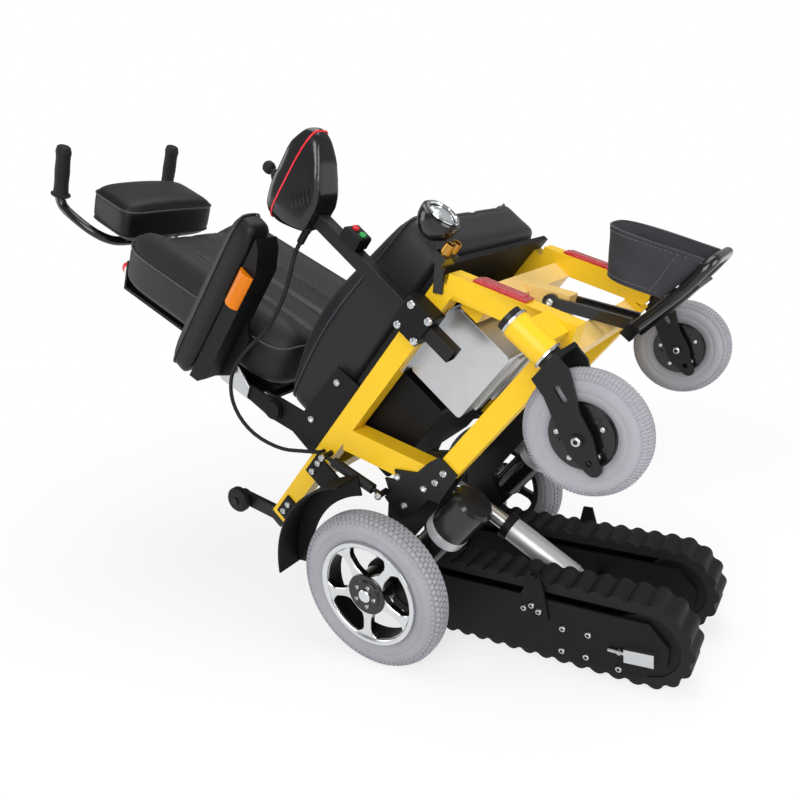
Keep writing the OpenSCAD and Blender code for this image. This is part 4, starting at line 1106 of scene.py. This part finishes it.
    def screws(self, side: str, sign: int) -> None:
        """Screws on the rim and the castor hub, and the castor's axle bolts."""
        b, rear, castor = self.bench, REAR.centre(sign), CASTOR.centre(sign)
        hub = [spot for q in (-1, 1) for spot in self.bolts(castor, q, 36, 23.8, 0.0)]
        axle = [(castor + Vector((0, q * 39.2, 0)) / MM, facing(Vector((0, q, 0))))
                for q in (-1, 1)]
        for name, head, spots, body in (
                ("rim_screws", (4.4, 4.0), self.bolts(rear, sign, 22, 30.5, 0.5), "rear_wheel"),
                ("hub_screws", (4.6, 3.6), hub, "castor"),
                ("axle_bolts", (8.2, 6.6), axle, "fork")):
            b.repeat(f"{name}_{side}", b.screw(*head), spots, Finishes.STEEL, f"{body}_{side}")

    def build(self) -> None:
        """Makes both sides."""
        for side, sign in SIDES:
            self.tyre(REAR, side, sign)
            self.tyre(CASTOR, side, sign)
            self.rim(side, sign)
            self.bench.rounded(f"castor_hub_{side}", f"castor_{side}", Finishes.HUB_BLACK, 0.6)
            self.bench.rounded(f"castor_fork_{side}", f"fork_{side}", Finishes.BLACK_STEEL, 0.9)
            self.screws(side, sign)


# Rigid pieces


def within(value: float, ends: Pair) -> bool:
    """Whether a value lies between two ends."""
    return ends[0] < value < ends[1]


@dataclass
class Chassis:
    """Frame, brackets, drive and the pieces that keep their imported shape."""

    bench: Bench

    # Node, body, finish and width of the rounded edges
    ROUNDED = (
        ("battery_box", "frame", Finishes.SHEET, 1.5),
        ("rear_carrier", "frame", Finishes.BLACK_STEEL, 0.8),
        ("drive_gearboxes", "frame", Finishes.BLACK_STEEL, 1.5),
        ("mudguards", "frame", Finishes.PLASTIC, 1.0),
        ("rear_outriggers", "frame", Finishes.BLACK_STEEL, 1.0),
        ("seat_pan", "frame", Finishes.PLASTIC, 1.6),
        ("post_clamp", "frame", Finishes.PLASTIC, 2.0),
        ("headlamp", "frame", Finishes.GLOSS_BLACK, 1.0),
        ("charge_sockets", "frame", Finishes.BRASS, 0.6),
        ("front_reflectors", "frame", Finishes.RED, 0.8),
        ("bearing_rings", "frame", Finishes.STEEL, 0.5),
        ("back_shell", "backrest", Finishes.PLASTIC, 2.0),
        ("push_handle", "backrest", Finishes.GLOSS_TUBE, 0.0),
        ("beacon_base", "backrest", Finishes.WHITE, 1.0),
        ("beacon_dome", "backrest", Finishes.RED_TRIM, 0.6),
        ("armrest_brackets", "backrest", Finishes.STEEL, 1.0),
        ("joystick_post", "control_post", Finishes.BLACK_STEEL, 1.5),
        ("joystick_trim", "control_post", Finishes.RED_TRIM, 0.5),
        ("switch_box", "control_post", Finishes.PLASTIC, 2.0),
        ("joystick_stick", "stick", Finishes.RUBBER, 0.6),
        ("button_red", "red_button", Finishes.RED_TRIM, 0.8),
        ("button_green", "green_button", Finishes.GREEN, 0.8),
        ("footrest_frame", "footrest", Finishes.GLOSS_TUBE, 0.0),
        ("track_belts", "tracks", Finishes.BELT, 1.4),
        ("actuator_rod", "actuator_ram", Finishes.STEEL, 1.0),
    )
    PAINTED = (("headrest_rods", Finishes.CHROME), ("joystick_gimbal", Finishes.STEEL),
               ("track_idlers", Finishes.PLASTIC), ("track_sprockets", Finishes.PLASTIC))

    # Ends of the places that have a finish of their own, in millimetres
    DRIVE_BAND = (164, 187)
    BLOCK_X, BLOCK_Z, BLOCK_Y = (452, 506), (-36, -2), 145.3
    CLAMP_FAR, MOTOR_HIGH, MOTOR_BAND = (194, 216), 27.5, (76, 94)

    def pale(self, mid: Vector) -> bool:
        """Whether a frame face lies on the front cross beam or the centre beam, whose lighter
        yellow is painted light; they are the same yellow steel as the frame.
        """
        beam, half_y, reach, lowest, behind = STANCE.chair(531, 0, 214), 0.1755, 0.2, 0.5, 0.06
        near = abs(mid.y) < half_y and (mid - beam).length < reach
        return near and mid.z > lowest and mid.x > beam.x - behind

    def drive_band(self, mid: Vector) -> bool:
        """Whether a face of a drive motor lies on its pale band."""
        ahead = (mid - STANCE.chair(0, mid.y * MM, 0)).dot(STANCE.chair_dir(1, 0, 0)) * MM
        return within(ahead, self.DRIVE_BAND)

    def tensioner(self, mid: Vector) -> bool:
        """Whether a face of the track frame is on a tensioner block."""
        place = (mid - STANCE.track(0, 0, 0)) * MM
        aside = abs(place.y) > self.BLOCK_Y
        return aside and within(place.x, self.BLOCK_X) and within(place.z, self.BLOCK_Z)

    def on_actuator(self, mid: Vector) -> Pair:
        """How far a point lies along the actuator and above its line, in millimetres."""
        base = STANCE.track(340, 0, 0)
        along = (STANCE.chair(94.3, 0, 89.5) - base).normalized()
        up = Vector((-along.z, 0, along.x))
        up = up if up.z > 0 else -up
        return (mid - base).dot(along) * MM, (mid - base).dot(up) * MM

    def clamp(self, mid: Vector) -> bool:
        """Whether a face of the actuator is on its clamp or its motor."""
        far, high = self.on_actuator(mid)
        return within(far, self.CLAMP_FAR) or high > self.MOTOR_HIGH

    def motor_band(self, mid: Vector) -> bool:
        """Whether a face of the actuator is on the pale band of its motor."""
        return within(self.on_actuator(mid)[1], self.MOTOR_BAND)

    def build(self) -> None:
        """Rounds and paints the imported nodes."""
        b = self.bench
        for row in self.ROUNDED:
            b.rounded(*row)
        for side, _ in SIDES:
            b.rounded(f"armrest_{side}", f"arm_{side}", Finishes.PLASTIC, 3.0)
            b.rounded(f"armrest_light_{side}", f"arm_{side}", Finishes.ORANGE, 2.0)
            b.rounded(f"outrigger_wheel_{side}", f"outrigger_{side}", Finishes.RUBBER, 1.5)
        b.moulded("joystick_box", "control_post", Finishes.GLOSS_BLACK, 2.0, 110)
        # The front cross beam and centre beam get a lighter copy of the yellow as painted light
        b.rounded("frame", "frame", Finishes.YELLOW, 2.2, ((Finishes.YELLOW_PAINTED_LIGHT, self.pale),))
        b.rounded("drive_motors", "frame", Finishes.GLOSS_TUBE, 1.0,
                  ((Finishes.BAND, self.drive_band),))
        b.rounded("track_frame", "tracks", Finishes.PLASTIC, 1.2,
                  ((Finishes.STEEL, self.tensioner),))
        b.rounded("actuator_body", "actuator", Finishes.BAND, 1.2,
                  ((Finishes.PLASTIC, self.clamp), (Finishes.BAND, self.motor_band)))
        for node, finish in self.PAINTED:
            b.paint(node, finish)


@dataclass
class Fasteners:
    """Screws of the frame and the tracks."""

    bench: Bench

    # Ahead, up and aside of each screw, on both sides of the chair
    FRAME = ((244, 58, 222), (272, 58, 222), (116, 330, 218), (230, 328, 218), (-124, 262, 222),
             (-100, 262, 222), (24, 262, 222), (52, 262, 222), (150, 72, 222), (186, 118, 222),
             (214, 66, 222), (94, 254, 246.5), (138, 118, 246.5))
    CLAMP = tuple((u, v, 257) for v in (240, 281) for u in (445, 491))
    TRACK = ((264, 26, 150), (280, 35, 150), (294, 25, 150), (338, -2, 145), (387, -1, 145),
             (335, -50, 145), (382, -49, 145), (442, -55, 145), (286, 96, 150))
    PIN = (566, 31, 150)

    def build(self) -> None:
        """Screws on the side frames, the post clamp, the footrest pin and the track plates."""
        b = self.bench
        frame: list[Spot] = []
        track: list[Spot] = []
        for _, q in SIDES:
            out = Vector((0, q, 0))
            for u, v, y in self.FRAME + (self.CLAMP if q < 0 else ()):
                frame.append((STANCE.chair(u, q * y, v), facing(out, 0.3 * u)))
            frame.append((STANCE.chair(self.PIN[0], q * self.PIN[1], self.PIN[2]), facing(out)))
            for x, z, y in self.TRACK:
                track.append((STANCE.track(x, q * y, z), facing(out, 0.2 * x)))
        b.repeat("frame_screws", b.screw(7.6, 5.0), frame, Finishes.STEEL, "frame", "frame_bolts")
        b.repeat("track_screws", b.screw(6.6, 5.4), track, Finishes.STEEL, "tracks")


@dataclass
class Fittings:
    """Lamp, handle grips, the cable's strain relief, joystick ribs and tensioner rods."""

    bench: Bench

    LAMP_AT, GRIP_AT, BOOT_AT = (592, -226, 338), (97, 163, 842), (402.3, -237, 534)
    # Sections of turned pieces, as (radius, height)
    BOWL = ((0.5, -4), (18, -4), (29, 6), (34.6, 19), (36, 30), (35.4, 36), (33, 38.5),
            (27.2, 38.5), (27.2, 15.8), (16.2, -0.2), (0.5, -0.2))
    BEZEL = ((24.3, 36.5), (29, 38.6), (30.6, 39.6), (29.6, 41.4), (25.6, 41.4), (24.3, 39.6))
    GLASS = ((0.4, 30.2), (23.9, 30.2), (23.9, 36), (17.5, 39.4), (9.5, 41.3), (0.4, 41.9))
    GRIP = ((0.5, 0), (21, 0), (23, 1.6), (23, 4.6), (19, 7), (17.4, 12), (16.6, 34), (17.6, 62),
            (16.6, 92), (17.2, 106), (18, 107), (18, 114), (17, 116), (15.6, 123), (12, 126),
            (0.5, 126))
    BOOT_ENDS = (((0.5, 0), (5.0, 0), (5.6, 0.6)), ((8.0, 28), (8.6, 44), (0.5, 44)))
    BOOT_RIB, BOOT_RIBS, BOOT_PITCH = ((5.6, 2), (7.1, 2.6), (7.1, 4.4), (5.6, 5)), 5, 5

    def lamp(self) -> None:
        """Bowl, bright bezel and faceted lens of the headlamp."""
        b, spot = self.bench, axis_at(STANCE.chair(*self.LAMP_AT), STANCE.chair_dir(1, 0, 0))
        for name, line, finish in (("lamp_bowl", self.BOWL, Finishes.GLOSS_BLACK),
                                   ("lamp_bezel", self.BEZEL, Finishes.CHROME)):
            b.place(b.lathe(name, line, spot, finish, 64), "frame", finish)
        lens = b.lathe("lamp_glass", self.GLASS, spot, Finishes.LENS, 15)
        lens.data.set_sharp_from_angle(angle=math.radians(4))
        b.place(lens, "frame", Finishes.LENS, "lamp_lens")

    def grips(self) -> None:
        """Smooth rubber grips with a flange and an end ring."""
        b, along = self.bench, STANCE.back(1, 0, 0) - STANCE.back(0, 0, 0)
        n, y, w = self.GRIP_AT
        parts = [b.lathe("grip", self.GRIP, axis_at(STANCE.back(n, q * y, w), along),
                         Finishes.RUBBER, 40) for _, q in SIDES]
        made = b.joined("handle_grip_rubbers", parts)
        b.place(made, "backrest", Finishes.RUBBER, "handle_grips")

    def boot(self) -> None:
        """Ribbed strain relief of the cable."""
        spot = axis_at(STANCE.chair(*self.BOOT_AT), STANCE.chair_dir(1, 0, 0))
        ribs = [(r, z + self.BOOT_PITCH * i)
                for i in range(self.BOOT_RIBS) for r, z in self.BOOT_RIB]
        profile = [*self.BOOT_ENDS[0], *ribs, *self.BOOT_ENDS[1]]
        made = self.bench.lathe("cable_boot", profile, spot, Finishes.RUBBER, 32)
        self.bench.place(made, "control_post", Finishes.RUBBER)

    def ribs(self) -> None:
        """Grip ribs low on the near side of the joystick housing."""
        turn = upright(STANCE.chair_dir(1, 0, 0.7), Vector((0, -1, 0)))
        spots = [(STANCE.chair(474 + 7.5 * i, -269.2, 566 - 5.5 * i), turn) for i in range(5)]
        self.bench.repeat("joystick_ribs", self.bench.block(24, 3.0, 1.9, -2.0), spots,
                          Finishes.GLOSS_BLACK, "control_post")

    def tensioners(self) -> None:
        """Threaded rods and nuts of the belt tensioners."""
        parts: list[Obj] = []
        for _, q in SIDES:
            for name, ends, radius, sides in (("rod", (424, 436, 448, 460), 0.0034, 10),
                                              ("nut", (442, 448), 0.0064, 6)):
                line = [STANCE.track(x, q * 149.2, -18) for x in ends]
                parts.append(self.bench.tube(name, line, radius, Finishes.STEEL, sides))
        self.bench.place(self.bench.joined("tensioner_rods", parts), "tracks", Finishes.STEEL)

    def build(self) -> None:
        """Makes all fittings."""
        self.lamp()
        self.grips()
        self.boot()
        self.ribs()
        self.tensioners()


# Soft lines


@dataclass
class Cable:
    """Controller cable from the joystick housing to the seat rail."""

    bench: Bench
    route: Sequence[Triple] = (
        (402, -237, 534), (384, -237, 534), (350, -245, 518), (300, -252, 499), (222, -256, 494),
        (145, -262, 514), (70, -264, 516), (14, -262, 478), (-5, -256, 412), (18, -246, 340),
        (60, -238, 296), (80, -236, 277), (84, -229, 269), (84, -217.7, 268.8))
    bend_end: Triple = (340, -247, 512)
    radius: float = 0.004

    def build(self) -> None:
        points = [STANCE.chair(*p) for p in chaikin(self.route)]
        made = self.bench.tube("controller_cable", points, self.radius, Finishes.RUBBER, 12)
        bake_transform(made)
        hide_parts("joystick_cable")


@dataclass
class CalfStrap:
    """Folded fabric band on the legs of the footrest loop.

    Places on the band are (t, k): t runs from -1 to 1 round it and k from 0 to 1 across.
    """

    bench: Bench
    ridge: Sequence[Pair] = ((676, 108), (738, 160))
    hem: Pair = (716, 800)
    thick: float = 2.6
    half_w: float = 65.0
    bulge: float = 9.0
    roundness: float = 0.62
    steps: tuple[int, int] = (72, 20)

    NUDGE = 0.02  # step along the band that gives its slope
    BINDING_R = 0.0021
    LEG_TOP, LEG_DROP, LEG_START, LEG_RUN = 8, 14, 642, 106
    LEG_GAP = 11.6  # from the middle of a leg to the middle of the cloth on it

    def leg(self, u: float) -> float:
        """Height of the loop's leg at a place along it."""
        return self.LEG_TOP - self.LEG_DROP * min(1.0, (u - self.LEG_START) / self.LEG_RUN)

    def middle(self, t: float, k: float) -> Vector:
        """Point of the band's middle face, in the chair's millimetres."""
        a = abs(t)
        u = self.hem[0] + k * (self.hem[1] - self.hem[0])
        low = Vector((u, self.leg(u) + self.LEG_GAP))
        high = Vector(self.ridge[0]).lerp(Vector(self.ridge[1]), k)
        wave = 1.6 * math.sin(9 * k + 5 * a) * math.sin(math.pi * a)
        side = power(math.sin(math.pi * a / 2), self.roundness)
        near = power(math.cos(math.pi * a / 2), self.roundness)
        y = math.copysign(self.half_w * side + self.bulge * math.sin(math.pi * a), t) + wave
        spot = low + (high - low) * near
        return Vector((spot.x, y, spot.y))

    def place(self, t: float, k: float) -> Vector:
        """Point of the band's middle face in metres."""
        return STANCE.chair(*self.middle(t, k))

    def stitches(self) -> list[Spot]:
        """Places of the stitches along both edges and both hems, on the outer face."""
        spots: list[Spot] = []
        inside = STANCE.chair(740, 0, 20)
        edges = [[(-1 + 2 * i / 70, k) for i in range(71)] for k in (0.07, 0.93)]
        hems = [[(t, k / 14) for k in range(1, 14)] for t in (-0.94, 0.94)]
        for line in edges + hems:
            for (t, k), after in zip(line, line[1:]):
                here = self.place(t, k)
                along = (self.place(*after) - here).normalized()
                side = self.place(t, k + self.NUDGE) - here
                if line in hems:
                    side = self.place(t - math.copysign(self.NUDGE, t), k) - here
                up = along.cross(side).normalized()
                up = up if up.dot(here - inside) >= 0 else -up
                spots.append((here + up * self.thick / 2 / MM, upright(along, up)))
        return spots

    def build(self) -> None:
        """Makes the band with a thickness, bound edges and stitched hems."""
        b, (nt, nk) = self.bench, self.steps
        grid = [[self.place(-1 + 2 * i / nt, k / nk) for k in range(nk + 1)] for i in range(nt + 1)]
        verts = [p for row in grid for p in row]
        faces = quads(nt + 1, nk + 1)
        area = sum((verts[i] - verts[o]).cross(verts[k] - verts[o]).length for o, i, _, k in faces)
        flat_w = sum((grid[i + 1][nk // 2] - grid[i][nk // 2]).length for i in range(nt))
        flat_l = sum((grid[nt // 4][k + 1] - grid[nt // 4][k]).length for k in range(nk))
        flat_w = max(flat_w, area / flat_l)
        band = b.piece("calf_band", verts, faces, Finishes.CLOTH, 60)
        shell = band.modifiers.new("cloth", "SOLIDIFY")
        shell.thickness, shell.offset = self.thick / MM, 0
        b.place(b.bake(band), "footrest", Finishes.CLOTH, "calf_strap")
        edges = [b.tube("edge", [row[k] for row in grid], self.BINDING_R, Finishes.PIPING, 8)
                 for k in (0, nk)]
        binding = b.place(b.joined("calf_band_binding", edges), "footrest", Finishes.PIPING)
        thread = b.repeat("calf_band_stitches", b.block(4.4, 1.2, 0.8, -0.6), self.stitches(),
                          Finishes.THREAD, "footrest")


# Stage


@dataclass
class Studio:
    """Floor, soft light and the camera of the photograph."""

    eye: Triple = (0.78076 + 0.2017, -1.22669, 0.87814)
    right: Triple = (0.82665689, 0.55400282, -0.09858634)
    down: Triple = (0.07334705, -0.27979119, -0.95725498)
    forward: Triple = (-0.55790555, 0.78409041, -0.27192578)
    lens: float = 31.795

    FLOOR = 20.0  # half width in metres
    # Name, place, aim, width in metres and watts
    LAMPS = (("key", (1.1, -2.8, 1.9), (0, 0, 0.5), 2.0, 76),
             ("left", (-2.5, -1.4, 1.4), (0, 0, 0.5), 1.4, 18),
             ("top", (0.2, 0.4, 3.0), (0, 0, 0.4), 2.2, 44),
             ("right", (2.6, -0.2, 1.1), (0.1, 0, 0.4), 1.2, 24))

    def camera(self) -> None:
        """Places the camera where the photograph was taken."""
        data = bpy.data.cameras.new("camera")
        data.lens, data.sensor_width, data.sensor_fit = self.lens, 36.0, "HORIZONTAL"
        data.clip_start, data.clip_end = 0.05, 60
        made = link("camera", data)
        axes = Matrix((self.right, -Vector(self.down), -Vector(self.forward))).transposed()
        made.matrix_world = Matrix.Translation(self.eye) @ axes.to_4x4()
        bpy.context.scene.camera = made

    def floor(self) -> None:
        """A pale floor that shows white to the camera and keeps the shadow."""
        mesh = bpy.data.meshes.new("floor")
        far = self.FLOOR
        corners = [(-far, -far, 0), (far, -far, 0), (far, far, 0), (-far, far, 0)]
        mesh.from_pydata(corners, [], [(0, 1, 2, 3)])
        made = link("floor", mesh)
        mat = bpy.data.materials.new("pale_studio_floor")
        mat.use_nodes = True
        tree = mat.node_tree
        tree.nodes.clear()
        rays = add_node(tree, "ShaderNodeLightPath")
        seen = add_node(tree, "ShaderNodeMath", {"operation": "MAXIMUM"},
                        i0=(rays, "Is Camera Ray"), i1=(rays, "Is Glossy Ray"))
        any_ray = add_node(tree, "ShaderNodeMath", {"operation": "MAXIMUM"},
                           i0=(seen, "Value"), i1=(rays, "Is Transmission Ray"))
        # The share of plain white grows with the distance, so that the floor has no horizon
        coord = add_node(tree, "ShaderNodeTexCoord")
        away = add_node(tree, "ShaderNodeVectorMath", {"operation": "LENGTH"}, i0=(coord, "Object"))
        share = add_node(tree, "ShaderNodeMapRange", {
            "From Min": 0.9, "From Max": 1.9, "To Min": 0.72, "To Max": 1.0}, Value=(away, "Value"))
        part = add_node(tree, "ShaderNodeMath", {"operation": "MULTIPLY"},
                        i0=(any_ray, "Value"), i1=(share, "Result"))
        matt = add_node(tree, "ShaderNodeBsdfDiffuse", {"Color": (0.9, 0.9, 0.9, 1)})
        glow = add_node(tree, "ShaderNodeEmission", {"Color": (1, 1, 1, 1), "Strength": 1.0})
        mix = add_node(tree, "ShaderNodeMixShader", None, Fac=(part, "Value"), i1=(matt, "BSDF"),
                       i2=(glow, "Emission"))
        add_node(tree, "ShaderNodeOutputMaterial", None, Surface=(mix, "Shader"))
        mesh.materials.append(mat)

    def lights(self) -> None:
        """Large soft lamps at a plain level and a white surrounding."""
        world = bpy.data.worlds.new("studio")
        bpy.context.scene.world = world
        world.use_nodes = True
        tree = world.node_tree
        tree.nodes.clear()
        rays = add_node(tree, "ShaderNodeLightPath")
        seen = add_node(tree, "ShaderNodeMath", {"operation": "MAXIMUM"},
                        i0=(rays, "Is Camera Ray"), i1=(rays, "Is Transmission Ray"))
        level = add_node(tree, "ShaderNodeMapRange", {"To Min": 0.34, "To Max": 1.0},
                         Value=(seen, "Value"))
        back = add_node(tree, "ShaderNodeBackground", {"Color": (1, 1, 1, 1)},
                        Strength=(level, "Result"))
        add_node(tree, "ShaderNodeOutputWorld", None, Surface=(back, "Background"))
        for name, place, aim, size, watts in self.LAMPS:
            data = bpy.data.lights.new(name, "AREA")
            data.shape, data.size, data.energy = "SQUARE", size, watts
            made = link(name, data)
            made.location = place
            made.rotation_euler = (Vector(place) - Vector(aim)).to_track_quat("Z", "Y").to_euler()

    def build(self) -> None:
        """Sets up camera, floor and light."""
        bpy.context.scene.view_settings.view_transform = "Standard"
        self.camera()
        self.floor()
        self.lights()


def main() -> None:
    """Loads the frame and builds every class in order."""
    logging.basicConfig(level=logging.INFO, format="%(name)s: %(message)s")
    for item in list(bpy.data.objects):
        bpy.data.objects.remove(item)
    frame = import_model()
    bench = Bench(Finishes(), frame["nodes"])
    Studio().build()
    Cable(bench).build()
    CalfStrap(bench).build()
    Upholstery(bench).build()
    Wheels(bench).build()
    Chassis(bench).build()
    Fasteners(bench).build()
    Fittings(bench).build()


if __name__ == "__main__":
    main()
